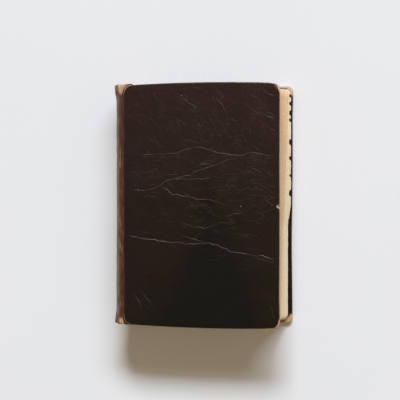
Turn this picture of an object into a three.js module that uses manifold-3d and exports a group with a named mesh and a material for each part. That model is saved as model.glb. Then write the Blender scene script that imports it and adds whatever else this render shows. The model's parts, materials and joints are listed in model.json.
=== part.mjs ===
// A stamp album in full leather, lying closed on its back cover. Units are millimetres.
// +X runs from the spine to the fore-edge, +Y from the tail to the head, and +Z from the back cover up to
// the front cover. The origin is under the middle of the album, on the surface that it lies on.
import * as THREE from 'three';
import { mergeVertices } from 'three/addons/utils/BufferGeometryUtils.js';
import Module from 'manifold-3d';

const wasm = await Module();
wasm.setup();

// Driving dimensions of the whole album
const COVER_HEIGHT = 210;
const COVER_WIDTH = 139;
const THICKNESS = 48;
const LEAN = 3; // the closed album leans: the back cover sits this far beyond the front cover
const SPINE_ROUND = 10.2;
const CORNER_RADIUS = 7;
const SQUARE = 2.6; // how far the covers stand out past the leaves at head and tail
const FORE_SQUARE = 0.6;
const FORE_HOLLOW = 4.5;
const CAP_FLARE = 1.6;

// Sheet materials and the clearance between pieces that lie against each other
const GAP = 0.3;
const LEATHER = 0.9;
const PARED_LEATHER = 0.6;
const TURN_IN = 0.4;
const TURN_IN_WIDTH = 7;
const BOARD = 1.9;
const PASTEDOWN = 0.3;
const STIFFENER = 0.7;
const PAPER = 0.3;
const TAPE = 0.3;
const LEAF = 0.5;

// Joints, tapes, sections and leaves
const JOINT_WIDTH = 3.8;
const SHOULDER = 0.4; // from the hinge axis out to the spine's shoulder
const HINGE_HEIGHT = 45.2;
const TAPE_WIDTH = 14;
const TAPE_PLACES = [-72, -24, 24, 72];
const SLIP_LENGTH = 26;
const RECESS_DEPTH = 0.9;
const SECTION_COUNT = 12;
const LOWER_LEAF_COUNT = 2;
const MOVING_LEAVES = ['front_free_endpaper', 'album_leaf_1', 'album_leaf_2', 'album_leaf_3', 'album_leaf_4'];
const GUARD_REACH = 7.3; // how far the guards stand in from the hinge axis
const LEAF_START = 8; // and where the leaves that turn begin
const LEAF_CORNER_RADIUS = 6;
const BAND_RADIUS = 0.7;
const KETTLE_RADIUS = 0.25;
const KETTLE_PLACE = 90;

// Worked-out sizes
const HALF_HEIGHT = COVER_HEIGHT / 2;
const LEAF_HALF_HEIGHT = HALF_HEIGHT - SQUARE;
const COVER_THICKNESS = LEATHER + GAP + BOARD + GAP + TURN_IN;
const BLOCK_TOP = THICKNESS - COVER_THICKNESS - GAP;
const BLOCK_BOTTOM = COVER_THICKNESS + GAP;
const LEAF_PITCH = LEAF + GAP;
const SPINE_REACH = JOINT_WIDTH + SHOULDER + SPINE_ROUND + CAP_FLARE - LEAN / 2; // past the front cover
const FRONT_FORE_EDGE = (COVER_WIDTH + SPINE_REACH - LEAN) / 2;
const FRONT_SPINE_EDGE = FRONT_FORE_EDGE - COVER_WIDTH;
const HINGE_X = FRONT_SPINE_EDGE - JOINT_WIDTH;
const SHOULDER_X = HINGE_X - SHOULDER;
const SPINE_TOP = HINGE_HEIGHT - 1.2;

const LEATHER_BROWN = { color: 0x33231d, roughness: 0.5 };
const WORN_LEATHER = { color: 0x6e4630, roughness: 0.65 };
const MILLBOARD = { color: 0x8a7a63, roughness: 0.9 };
const ENDPAPER = { color: 0xd6c19a, roughness: 0.85 };
const LEAF_PAPER = { color: 0xdcc8a4, roughness: 0.85 };
const KRAFT = { color: 0x9c7a52, roughness: 0.9 };
const GAUZE = { color: 0xcfc4ac, roughness: 0.95 };
const LINEN = { color: 0xd8ceb8, roughness: 0.9 };
const SILK = { color: 0x8c3b2e, roughness: 0.6 };

// How far from the middle of the spine's height z is: 0 in the middle, 1 at either hinge axis
function spineShare(z) {
  return Math.abs(z - THICKNESS / 2) / (HINGE_HEIGHT - THICKNESS / 2);
}

function leanAt(z) {
  return LEAN * (1 - z / THICKNESS);
}

// Outer face of the spine at height z
function spineX(z) {
  return SHOULDER_X + leanAt(z) - SPINE_ROUND * (1 - spineShare(z) ** 2);
}

// Fore-edge of the leaves at height z: leaning, and slightly hollow
function foreEdgeX(z) {
  return FRONT_FORE_EDGE - FORE_SQUARE + leanAt(z) - FORE_HOLLOW * (1 - spineShare(z) ** 2);
}

// The layers of the spine, as depths in from its outer face
const STIFFENER_DEPTH = LEATHER + GAP;
const LINING_DEPTH = STIFFENER_DEPTH + STIFFENER + GAP;
const MULL_DEPTH = LINING_DEPTH + PAPER + GAP;
const TAPE_DEPTH = MULL_DEPTH + PAPER + GAP;
const FOLD_DEPTH = TAPE_DEPTH + TAPE + GAP;
const KETTLE_DEPTH = (MULL_DEPTH + PAPER + FOLD_DEPTH) / 2;

function makeMesh(name, geometry, finish) {
  const mesh = new THREE.Mesh(geometry, new THREE.MeshStandardMaterial({ ...finish, metalness: 0 }));
  mesh.name = name;
  return mesh;
}

function toManifold(geometry) {
  const bare = geometry.index ? geometry.clone() : geometry;
  bare.deleteAttribute('normal');
  bare.deleteAttribute('uv');
  const merged = mergeVertices(bare, 1e-4);
  const vertProperties = new Float32Array(merged.attributes.position.array);
  const triVerts = new Uint32Array(merged.index.array);
  return new wasm.Manifold(new wasm.Mesh({ numProp: 3, vertProperties, triVerts }));
}

function fromManifold(solid) {
  const { vertProperties, triVerts } = solid.getMesh();
  const geometry = new THREE.BufferGeometry();
  geometry.setAttribute('position', new THREE.BufferAttribute(vertProperties, 3));
  geometry.setIndex(new THREE.BufferAttribute(triVerts, 1));
  return geometry;
}

// Plan outline between two x and two y values, with one corner radius at the spine side and one at the
// fore-edge; a radius of 0 leaves the corner square
function planOutline(left, right, halfHeight, spineRadius, foreRadius) {
  const outline = new THREE.Shape();
  outline.moveTo(left + spineRadius, -halfHeight);
  outline.lineTo(right - foreRadius, -halfHeight);
  if (foreRadius > 0) {
    outline.absarc(right - foreRadius, foreRadius - halfHeight, foreRadius, -Math.PI / 2, 0);
  }
  outline.lineTo(right, halfHeight - foreRadius);
  if (foreRadius > 0) {
    outline.absarc(right - foreRadius, halfHeight - foreRadius, foreRadius, 0, Math.PI / 2);
  }
  outline.lineTo(left + spineRadius, halfHeight);
  if (spineRadius > 0) {
    outline.absarc(left + spineRadius, halfHeight - spineRadius, spineRadius, Math.PI / 2, Math.PI);
  }
  outline.lineTo(left, spineRadius - halfHeight);
  if (spineRadius > 0) {
    outline.absarc(left + spineRadius, spineRadius - halfHeight, spineRadius, Math.PI, 1.5 * Math.PI);
  }
  return outline;
}

// A flat plate of a plan outline, from height bottom to height top
function plate(outline, bottom, top) {
  const geometry = new THREE.ExtrudeGeometry(outline, {
    depth: top - bottom,
    bevelEnabled: false,
    curveSegments: 6,
  });
  return geometry.translate(0, 0, bottom);
}

function boxBetween(low, high) {
  const size = high.map((value, axis) => value - low[axis]);
  const middle = high.map((value, axis) => (value + low[axis]) / 2);
  return new THREE.BoxGeometry(...size).translate(...middle);
}

// A cross-section drawn in X and Z, run along Y from yStart to yEnd
function runAlongY(profile, yStart, yEnd) {
  const geometry = new THREE.ExtrudeGeometry(profile, { depth: yEnd - yStart, bevelEnabled: false });
  return geometry.rotateX(Math.PI / 2).translate(0, yEnd, 0);
}

// A layer that follows the spine's curve, between two depths in from its outer face
function spineLayer(depth, thickness, bottom, top, yStart, yEnd) {
  const steps = 14;
  const profile = new THREE.Shape();
  profile.moveTo(spineX(bottom) + depth, bottom);
  for (let step = 1; step <= steps; step += 1) {
    const z = bottom + ((top - bottom) * step) / steps;
    profile.lineTo(spineX(z) + depth, z);
  }
  for (let step = steps; step >= 0; step -= 1) {
    const z = bottom + ((top - bottom) * step) / steps;
    profile.lineTo(spineX(z) + depth + thickness, z);
  }
  return runAlongY(profile, yStart, yEnd);
}

// A cord that follows the spine's curve at one y, a given depth in from its outer face
function spineCord(depth, radius, bottom, top, y) {
  const points = [];
  const steps = 10;
  for (let step = 0; step <= steps; step += 1) {
    const z = bottom + ((top - bottom) * step) / steps;
    points.push(new THREE.Vector3(spineX(z) + depth, y, z));
  }
  const section = new THREE.Shape().absarc(0, 0, radius, 0, 2 * Math.PI);
  return new THREE.ExtrudeGeometry(section, {
    steps: 12,
    curveSegments: 8,
    extrudePath: new THREE.CatmullRomCurve3(points),
  });
}

// The spine's leather: a trough open towards the leaves, flared and turned in at head and tail as the caps.
// Each row of the mesh is a place along Y, with its depth on the outer side and on the inner side.
function spineLeatherRows() {
  const lip = FOLD_DEPTH;
  const rows = [];
  const places = [-1, -0.96, -0.92, -0.86, -0.4, 0, 0.4, 0.86, 0.92, 0.96, 1];
  for (const place of places) {
    const flare = CAP_FLARE * THREE.MathUtils.smoothstep(Math.abs(place), 0.86, 1);
    const isEnd = Math.abs(place) === 1;
    const innerY = isEnd ? Math.sign(place) * (HALF_HEIGHT - PARED_LEATHER) : place * HALF_HEIGHT;
    rows.push({ outerY: place * HALF_HEIGHT, innerY, outerDepth: 0, innerDepth: LEATHER, flare });
  }
  const turnedIn = rows[0];
  const turnedInHead = rows[rows.length - 1];
  rows.unshift({ ...turnedIn, outerDepth: lip, innerDepth: lip, flare: 0 });
  rows.push({ ...turnedInHead, outerDepth: lip, innerDepth: lip, flare: 0 });
  return rows;
}

function spineLeather() {
  const rows = spineLeatherRows();
  const steps = 20;
  const bottom = THICKNESS - SPINE_TOP;
  const positions = [];
  for (const side of ['outer', 'inner']) {
    for (const row of rows) {
      for (let step = 0; step <= steps; step += 1) {
        const z = bottom + ((SPINE_TOP - bottom) * step) / steps;
        const flare = row.flare * (1 - spineShare(z) ** 2);
        positions.push(spineX(z) + row[`${side}Depth`] - flare, row[`${side}Y`], z);
      }
    }
  }
  const across = steps + 1;
  const inner = rows.length * across;
  const index = [];
  const addQuad = (a, b, c, d) => index.push(a, b, c, a, c, d);
  for (let row = 0; row < rows.length - 1; row += 1) {
    for (let step = 0; step < steps; step += 1) {
      const corner = row * across + step;
      addQuad(corner, corner + 1, corner + across + 1, corner + across);
      addQuad(inner + corner, inner + corner + across, inner + corner + across + 1, inner + corner + 1);
    }
    const low = row * across;
    const high = low + steps;
    addQuad(low, low + across, inner + low + across, inner + low);
    addQuad(high, inner + high, inner + high + across, high + across);
  }
  const lastRow = (rows.length - 1) * across;
  for (let step = 0; step < steps; step += 1) {
    addQuad(step, inner + step, inner + step + 1, step + 1);
    addQuad(lastRow + step, lastRow + step + 1, inner + lastRow + step + 1, inner + lastRow + step);
  }
  const geometry = new THREE.BufferGeometry();
  geometry.setAttribute('position', new THREE.Float32BufferAttribute(positions, 3));
  geometry.setIndex(index);
  return geometry;
}

// The covering leather of one board: a tray with its rim turned in over the board's inner face on the three
// free sides, and open at the spine side
function coverLeather() {
  const outerOutline = planOutline(FRONT_SPINE_EDGE, FRONT_FORE_EDGE, HALF_HEIGHT, CORNER_RADIUS, CORNER_RADIUS);
  const pocketOutline = planOutline(
    FRONT_SPINE_EDGE - LEATHER,
    FRONT_FORE_EDGE - LEATHER,
    HALF_HEIGHT - LEATHER,
    CORNER_RADIUS,
    CORNER_RADIUS - LEATHER,
  );
  const inside = THICKNESS - COVER_THICKNESS;
  const skin = toManifold(plate(outerOutline, inside, THICKNESS));
  const pocket = toManifold(plate(pocketOutline, inside + TURN_IN, THICKNESS - LEATHER));
  const window = toManifold(
    boxBetween(
      [FRONT_SPINE_EDGE - 1, TURN_IN_WIDTH - HALF_HEIGHT, inside - 1],
      [FRONT_FORE_EDGE - TURN_IN_WIDTH, HALF_HEIGHT - TURN_IN_WIDTH, inside + TURN_IN + 0.1],
    ),
  );
  return fromManifold(skin.subtract(pocket).subtract(window));
}

// The board, with a shallow recess in its inner face for each tape's slip
function board() {
  const bottom = THICKNESS - COVER_THICKNESS + TURN_IN + GAP;
  const inset = LEATHER + GAP;
  const outline = planOutline(
    FRONT_SPINE_EDGE + GAP,
    FRONT_FORE_EDGE - inset,
    HALF_HEIGHT - inset,
    CORNER_RADIUS - inset,
    CORNER_RADIUS - inset,
  );
  let solid = toManifold(plate(outline, bottom, bottom + BOARD));
  for (const place of TAPE_PLACES) {
    const reach = TAPE_WIDTH / 2 + GAP;
    const recess = boxBetween(
      [FRONT_SPINE_EDGE - 1, place - reach, bottom - 1],
      [FRONT_SPINE_EDGE + SLIP_LENGTH + 2 * GAP, place + reach, bottom + RECESS_DEPTH],
    );
    solid = solid.subtract(toManifold(recess));
  }
  return fromManifold(solid);
}

function tapeSlip(place) {
  const bottom = THICKNESS - COVER_THICKNESS + TURN_IN + 2 * GAP;
  const left = FRONT_SPINE_EDGE + GAP;
  return boxBetween(
    [left, place - TAPE_WIDTH / 2, bottom],
    [left + SLIP_LENGTH, place + TAPE_WIDTH / 2, bottom + TAPE],
  );
}

function pastedown() {
  const bottom = THICKNESS - COVER_THICKNESS + (TURN_IN - PASTEDOWN) / 2;
  const inset = TURN_IN_WIDTH + GAP;
  const outline = planOutline(FRONT_SPINE_EDGE + GAP, FRONT_FORE_EDGE - inset, HALF_HEIGHT - inset, 0, 1);
  return plate(outline, bottom, bottom + PASTEDOWN);
}

// The leather that dips into the groove of the joint, from the cover's edge down to the hinge axis
function jointLeather() {
  const profile = new THREE.Shape();
  const fromAxis = (x, z) => [HINGE_X + x, HINGE_HEIGHT + z];
  profile.moveTo(...fromAxis(JOINT_WIDTH - GAP, THICKNESS - HINGE_HEIGHT));
  profile.bezierCurveTo(...fromAxis(1.9, 2.7), ...fromAxis(1.9, 0.1), ...fromAxis(GAP, 0));
  profile.lineTo(...fromAxis(GAP, -LEATHER));
  profile.bezierCurveTo(...fromAxis(2.2, -0.8), ...fromAxis(2.4, 0), ...fromAxis(JOINT_WIDTH - GAP, 1.6));
  profile.closePath();
  return runAlongY(profile, CORNER_RADIUS / 2 - HALF_HEIGHT, HALF_HEIGHT - CORNER_RADIUS / 2);
}

// One cover with everything glued to it, in the front cover's place
function cover(side) {
  const group = new THREE.Group();
  group.add(
    makeMesh(`${side}_board`, board(), MILLBOARD),
    makeMesh(`${side}_cover_leather`, coverLeather(), LEATHER_BROWN),
    makeMesh(`${side}_joint_leather`, jointLeather(), WORN_LEATHER),
    makeMesh(`${side}_pastedown`, pastedown(), ENDPAPER),
  );
  TAPE_PLACES.forEach((place, number) => {
    group.add(makeMesh(`${side}_tape_slip_${number + 1}`, tapeSlip(place), LINEN));
  });
  return group;
}

// Leftmost x at which a flat layer between two heights clears the spine's inner layers
function foldX(bottom, top) {
  return Math.max(spineX(bottom), spineX(top)) + FOLD_DEPTH;
}

// Fore-edge of a flat layer between two heights
function layerForeEdge(bottom, top) {
  return foreEdgeX((bottom + top) / 2);
}

// Sheets or sections that run from the spine's fold to the fore-edge
function foldedLayer(bottom, top) {
  const right = layerForeEdge(bottom, top);
  const outline = planOutline(foldX(bottom, top), right, LEAF_HALF_HEIGHT, 0, LEAF_CORNER_RADIUS);
  return plate(outline, bottom, top);
}

// The leaves that turn, from the front free endpaper down, each beyond its own fixed guard
function turningLeaves() {
  const group = new THREE.Group();
  MOVING_LEAVES.forEach((name, number) => {
    const top = BLOCK_TOP - number * LEAF_PITCH;
    const bottom = top - LEAF;
    const leafOutline = planOutline(
      HINGE_X + LEAF_START,
      layerForeEdge(bottom, top),
      LEAF_HALF_HEIGHT,
      0,
      LEAF_CORNER_RADIUS,
    );
    const guardOutline = planOutline(foldX(bottom, top), HINGE_X + GUARD_REACH, LEAF_HALF_HEIGHT, 0, 0);
    const finish = number === 0 ? ENDPAPER : LEAF_PAPER;
    group.add(
      makeMesh(name, plate(leafOutline, bottom, top), finish),
      makeMesh(`guard_${number + 1}`, plate(guardOutline, bottom, top), LINEN),
    );
  });
  return group;
}

// The fixed leaves: the back free endpaper and loose lower leaves, then the sewn sections above them
function fixedLeaves() {
  const group = new THREE.Group();
  group.add(makeMesh('back_free_endpaper', foldedLayer(BLOCK_BOTTOM, BLOCK_BOTTOM + LEAF), ENDPAPER));
  for (let number = 1; number <= LOWER_LEAF_COUNT; number += 1) {
    const bottom = BLOCK_BOTTOM + number * LEAF_PITCH;
    group.add(makeMesh(`lower_leaf_${number}`, foldedLayer(bottom, bottom + LEAF), LEAF_PAPER));
  }
  const lowest = BLOCK_BOTTOM + (LOWER_LEAF_COUNT + 1) * LEAF_PITCH;
  const highest = BLOCK_TOP - MOVING_LEAVES.length * LEAF_PITCH;
  const pitch = (highest - lowest + GAP) / SECTION_COUNT;
  for (let number = 1; number <= SECTION_COUNT; number += 1) {
    const top = highest - (number - 1) * pitch;
    const bottom = top - pitch + GAP;
    const name = `section_${String(number).padStart(2, '0')}`;
    group.add(makeMesh(name, foldedLayer(bottom, top), LEAF_PAPER));
  }
  return group;
}

function spine() {
  const group = new THREE.Group();
  const layer = (depth, thickness, margin, halfLength) =>
    spineLayer(depth, thickness, THICKNESS - SPINE_TOP + margin, SPINE_TOP - margin, -halfLength, halfLength);
  group.add(
    makeMesh('spine_leather', spineLeather(), WORN_LEATHER),
    makeMesh('spine_stiffener', layer(STIFFENER_DEPTH, STIFFENER, 1, LEAF_HALF_HEIGHT - 1), MILLBOARD),
    makeMesh('spine_lining', layer(LINING_DEPTH, PAPER, 1.5, LEAF_HALF_HEIGHT - 2), KRAFT),
    makeMesh('mull', layer(MULL_DEPTH, PAPER, 1, LEAF_HALF_HEIGHT - 5), GAUZE),
  );
  const lowest = THICKNESS - SPINE_TOP + 2;
  const highest = SPINE_TOP - 2;
  TAPE_PLACES.forEach((place, number) => {
    const start = place - TAPE_WIDTH / 2;
    const tape = spineLayer(TAPE_DEPTH, TAPE, lowest, highest, start, start + TAPE_WIDTH);
    group.add(makeMesh(`sewing_tape_${number + 1}`, tape, LINEN));
  });
  const bandPlace = LEAF_HALF_HEIGHT + GAP + BAND_RADIUS;
  for (const [end, sign] of [['head', 1], ['tail', -1]]) {
    const band = spineCord(FOLD_DEPTH, BAND_RADIUS, lowest + 4, highest - 4, sign * bandPlace);
    const kettle = spineCord(KETTLE_DEPTH, KETTLE_RADIUS, lowest, highest, sign * KETTLE_PLACE);
    group.add(makeMesh(`${end}band`, band, SILK), makeMesh(`kettle_stitch_${end}`, kettle, LINEN));
  }
  return group;
}

// The back cover is the front cover turned over about the album's length, and moved out by the lean
function backCover() {
  const group = cover('back');
  group.rotation.x = Math.PI;
  group.position.set(LEAN, 0, THICKNESS);
  return group;
}

const album = new THREE.Group();
album.add(cover('front'), backCover(), spine(), fixedLeaves(), turningLeaves());

export default album;
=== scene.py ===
"""The looks of a stamp album bound in full leather, lying closed on its back cover.

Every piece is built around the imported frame, in metres: +X runs from the spine to the
fore-edge, +Y from tail to head, and +Z up through the front cover.
"""

import json
import logging
import math
from collections.abc import Sequence
from dataclasses import dataclass, field
from enum import Enum

import bmesh
import bpy
import numpy as np
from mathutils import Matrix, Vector


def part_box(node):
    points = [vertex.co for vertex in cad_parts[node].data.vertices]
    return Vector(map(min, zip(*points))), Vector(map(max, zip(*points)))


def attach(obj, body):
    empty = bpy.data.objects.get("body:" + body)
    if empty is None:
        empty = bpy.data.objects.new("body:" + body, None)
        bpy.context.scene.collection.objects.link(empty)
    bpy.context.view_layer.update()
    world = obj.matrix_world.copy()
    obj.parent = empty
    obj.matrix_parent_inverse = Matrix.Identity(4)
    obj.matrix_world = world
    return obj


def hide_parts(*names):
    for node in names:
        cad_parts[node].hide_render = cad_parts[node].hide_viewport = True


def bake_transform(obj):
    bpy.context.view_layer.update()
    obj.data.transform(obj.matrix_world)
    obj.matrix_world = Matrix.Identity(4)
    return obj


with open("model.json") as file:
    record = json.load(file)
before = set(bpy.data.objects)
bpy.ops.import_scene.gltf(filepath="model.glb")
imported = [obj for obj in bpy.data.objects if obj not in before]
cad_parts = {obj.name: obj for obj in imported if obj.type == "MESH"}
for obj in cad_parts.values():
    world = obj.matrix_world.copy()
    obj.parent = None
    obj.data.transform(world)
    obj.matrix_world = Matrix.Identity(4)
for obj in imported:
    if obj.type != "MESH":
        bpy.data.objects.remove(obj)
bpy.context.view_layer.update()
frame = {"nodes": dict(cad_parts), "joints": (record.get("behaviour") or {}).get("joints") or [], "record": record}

LOG = logging.getLogger("album")
MM = 0.001
ROOT_BODY = "text_block"

Triple = tuple[float, float, float]
Colour = Triple
Grid = np.ndarray
Socket = bpy.types.NodeSocket
Material = bpy.types.Material
Piece = bpy.types.Object


class Side(Enum):
    """The two covers."""

    FRONT = "front"
    BACK = "back"


class End(Enum):
    """The two ends of the spine, by the names of their bands."""

    HEAD = "headband"
    TAIL = "tailband"


class Slot(Enum):
    """The record's material slots."""

    COVER_LEATHER = "cover_leather"
    WORN_LEATHER = "worn_leather"
    MILLBOARD = "millboard"
    ENDPAPER = "endpaper"
    LEAF_PAPER = "leaf_paper"
    KRAFT_PAPER = "kraft_paper"
    GAUZE = "gauze"
    LINEN = "linen"
    SILK = "silk"


def display_colour(red: int, green: int, blue: int) -> Colour:
    """Turns a display colour into a linear one.

    Args:
        red: Red from 0 to 255.
        green: Green from 0 to 255.
        blue: Blue from 0 to 255.

    Returns:
        The linear colour that the shaders use.
    """
    knee, slope, offset, power = 0.04045, 12.92, 0.055, 2.4
    shares = (channel / 255 for channel in (red, green, blue))
    return tuple(
        share / slope if share <= knee else ((share + offset) / (1 + offset)) ** power
        for share in shares
    )


# ---------------------------------------------------------------------------
# Shader maths
# ---------------------------------------------------------------------------


class Value:
    """A number that varies over a surface, which Python's operators combine."""

    def __init__(self, recipe: "Recipe", socket: Socket) -> None:
        """Wraps one output socket of a recipe's node tree."""
        self.recipe = recipe
        self.socket = socket

    def __add__(self, other: "Number") -> "Value":
        """Sum of two numbers."""
        return self.recipe.math("ADD", self, other)

    def __radd__(self, other: "Number") -> "Value":
        """Sum with the plain number first."""
        return self.recipe.math("ADD", other, self)

    def __sub__(self, other: "Number") -> "Value":
        """Difference of two numbers."""
        return self.recipe.math("SUBTRACT", self, other)

    def __rsub__(self, other: "Number") -> "Value":
        """Difference with the plain number first."""
        return self.recipe.math("SUBTRACT", other, self)

    def __mul__(self, other: "Number") -> "Value":
        """Product of two numbers."""
        return self.recipe.math("MULTIPLY", self, other)

    def __rmul__(self, other: "Number") -> "Value":
        """Product with the plain number first."""
        return self.recipe.math("MULTIPLY", other, self)

    def __truediv__(self, other: "Number") -> "Value":
        """Quotient of two numbers."""
        return self.recipe.math("DIVIDE", self, other)

    def __rtruediv__(self, other: "Number") -> "Value":
        """Quotient with the plain number first."""
        return self.recipe.math("DIVIDE", other, self)

    def __abs__(self) -> "Value":
        """Size of the number without its sign."""
        return self.recipe.math("ABSOLUTE", self)

    def fraction(self) -> "Value":
        """The part after the decimal point."""
        return self.recipe.math("FRACT", self)

    def at_least(self, other: "Number") -> "Value":
        """The larger of two numbers."""
        return self.recipe.math("MAXIMUM", self, other)

    def ease(self, low: float, high: float) -> "Value":
        """Runs smoothly from 0 where the number is low to 1 where it is high.

        Args:
            low: Number that gives 0.
            high: Number that gives 1.

        Returns:
            The eased share, from 0 to 1.
        """
        settings = {"interpolation_type": "SMOOTHSTEP"}
        inputs = {"Value": self, "From Min": low, "From Max": high}
        node = self.recipe.node("ShaderNodeMapRange", settings, inputs)
        return Value(self.recipe, node.outputs["Result"])


Number = Value | float
Given = Value | float | Colour | Socket


class Recipe:
    """The node tree of one material while it is put together."""

    MIX_SHARE, MIX_FIRST, MIX_SECOND, MIX_RESULT = 0, 6, 7, 2

    def __init__(self, name: str) -> None:
        """Starts a material with a Principled shader and nothing else."""
        self.material = bpy.data.materials.new(name)
        self.material.use_nodes = True
        self.tree = self.material.node_tree
        self.tree.nodes.clear()
        self.shader = self.tree.nodes.new("ShaderNodeBsdfPrincipled")
        output = self.tree.nodes.new("ShaderNodeOutputMaterial")
        self.tree.links.new(self.shader.outputs["BSDF"], output.inputs["Surface"])

    def feed(self, socket: Socket, given: Given) -> None:
        """Links a socket, or sets its constant.

        Args:
            socket: Input socket to feed.
            given: Link source or constant.
        """
        source = given.socket if isinstance(given, Value) else given
        if isinstance(source, Socket):
            self.tree.links.new(source, socket)
        elif socket.type == "RGBA":
            socket.default_value = (*source, 1.0)
        else:
            socket.default_value = source

    def node(
        self,
        kind: str,
        settings: dict[str, object] | None = None,
        inputs: dict[str | int, Given] | None = None,
    ) -> bpy.types.Node:
        """Adds one node: its settings first, then its sockets.

        Args:
            kind: The node's type.
            settings: Properties of the node.
            inputs: Values or links of the input sockets, by name or number.

        Returns:
            The new node.
        """
        node = self.tree.nodes.new(kind)
        for key, setting in (settings or {}).items():
            setattr(node, key, setting)
        for key, given in (inputs or {}).items():
            self.feed(node.inputs[key], given)
        return node

    def math(self, operation: str, *terms: Number) -> Value:
        """Adds a Math node.

        Args:
            operation: The node's operation.
            terms: Its one or two inputs.

        Returns:
            The result.
        """
        node = self.node("ShaderNodeMath", {"operation": operation}, dict(enumerate(terms)))
        return Value(self, node.outputs[0])

    def place(self) -> Socket:
        """The point of the surface in the piece's own metres."""
        return self.node("ShaderNodeTexCoord").outputs["Object"]

    def sheet_place(self) -> Socket:
        """The point of the flat sheet in metres, which stays put when the sheet bends."""
        return self.node("ShaderNodeTexCoord").outputs["UV"]

    def stretched(self, place: Socket, scale: Triple) -> Socket:
        """Scales a place along its axes.

        Args:
            place: The place to scale.
            scale: Factor along each axis.

        Returns:
            The scaled place.
        """
        settings = {"operation": "MULTIPLY"}
        return self.node("ShaderNodeVectorMath", settings, {0: place, 1: scale}).outputs[0]

    def axes(self, place: Socket) -> tuple[Value, Value, Value]:
        """The three coordinates of a place."""
        node = self.node("ShaderNodeSeparateXYZ", inputs={0: place})
        return tuple(Value(self, node.outputs[axis]) for axis in "XYZ")

    def attribute(self, name: str) -> Value:
        """A number painted on the mesh."""
        node = self.node("ShaderNodeAttribute", {"attribute_name": name})
        return Value(self, node.outputs["Fac"])

    def noise(
        self,
        place: Socket,
        size: float,
        detail: float = 3.0,
        roughness: float = 0.55,
        distortion: float = 0.0,
    ) -> Value:
        """Cloudy noise.

        Args:
            place: Where it is read.
            size: Size of its largest features, in metres.
            detail: How many finer layers it has.
            roughness: How strong the finer layers are.
            distortion: How far it swirls.

        Returns:
            A number from 0 to 1, mostly near 0.5.
        """
        inputs = {
            "Vector": place,
            "Scale": 1 / size,
            "Detail": detail,
            "Roughness": roughness,
            "Distortion": distortion,
        }
        node = self.node("ShaderNodeTexNoise", inputs=inputs)
        return Value(self, node.outputs["Fac"])

    def cells(self, place: Socket, size: float) -> Value:
        """Distance to the nearest centre in a pattern of irregular cells.

        Args:
            place: Where it is read.
            size: Size of a cell, in metres.

        Returns:
            The distance, in cells.
        """
        node = self.node("ShaderNodeTexVoronoi", inputs={"Vector": place, "Scale": 1 / size})
        return Value(self, node.outputs["Distance"])

    def blend(self, share: Number, first: Given, second: Given) -> Socket:
        """Mixes two colours.

        Args:
            share: How much of the second colour.
            first: Colour at share 0.
            second: Colour at share 1.

        Returns:
            The mixed colour.
        """
        settings = {"data_type": "RGBA", "clamp_factor": True}
        inputs = {self.MIX_SHARE: share, self.MIX_FIRST: first, self.MIX_SECOND: second}
        return self.node("ShaderNodeMix", settings, inputs).outputs[self.MIX_RESULT]

    def finish(
        self,
        base: Given,
        roughness: Number,
        height: Value,
        relief: float,
        specular: float = 0.5,
    ) -> Material:
        """Feeds the shader and ends the material.

        Args:
            base: Colour.
            roughness: Roughness.
            height: Fine relief, about 0 to 1.
            relief: What a height of 1 measures, in metres.
            specular: Strength of the surface's reflection.

        Returns:
            The finished material.
        """
        bump = self.node(
            "ShaderNodeBump", inputs={"Strength": 1.0, "Distance": relief, "Height": height}
        )
        self.feed(self.shader.inputs["Base Color"], base)
        self.feed(self.shader.inputs["Roughness"], roughness)
        self.feed(self.shader.inputs["Specular IOR Level"], specular)
        self.feed(self.shader.inputs["Normal"], bump.outputs["Normal"])
        return self.material


# ---------------------------------------------------------------------------
# Finishes
# ---------------------------------------------------------------------------


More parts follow.
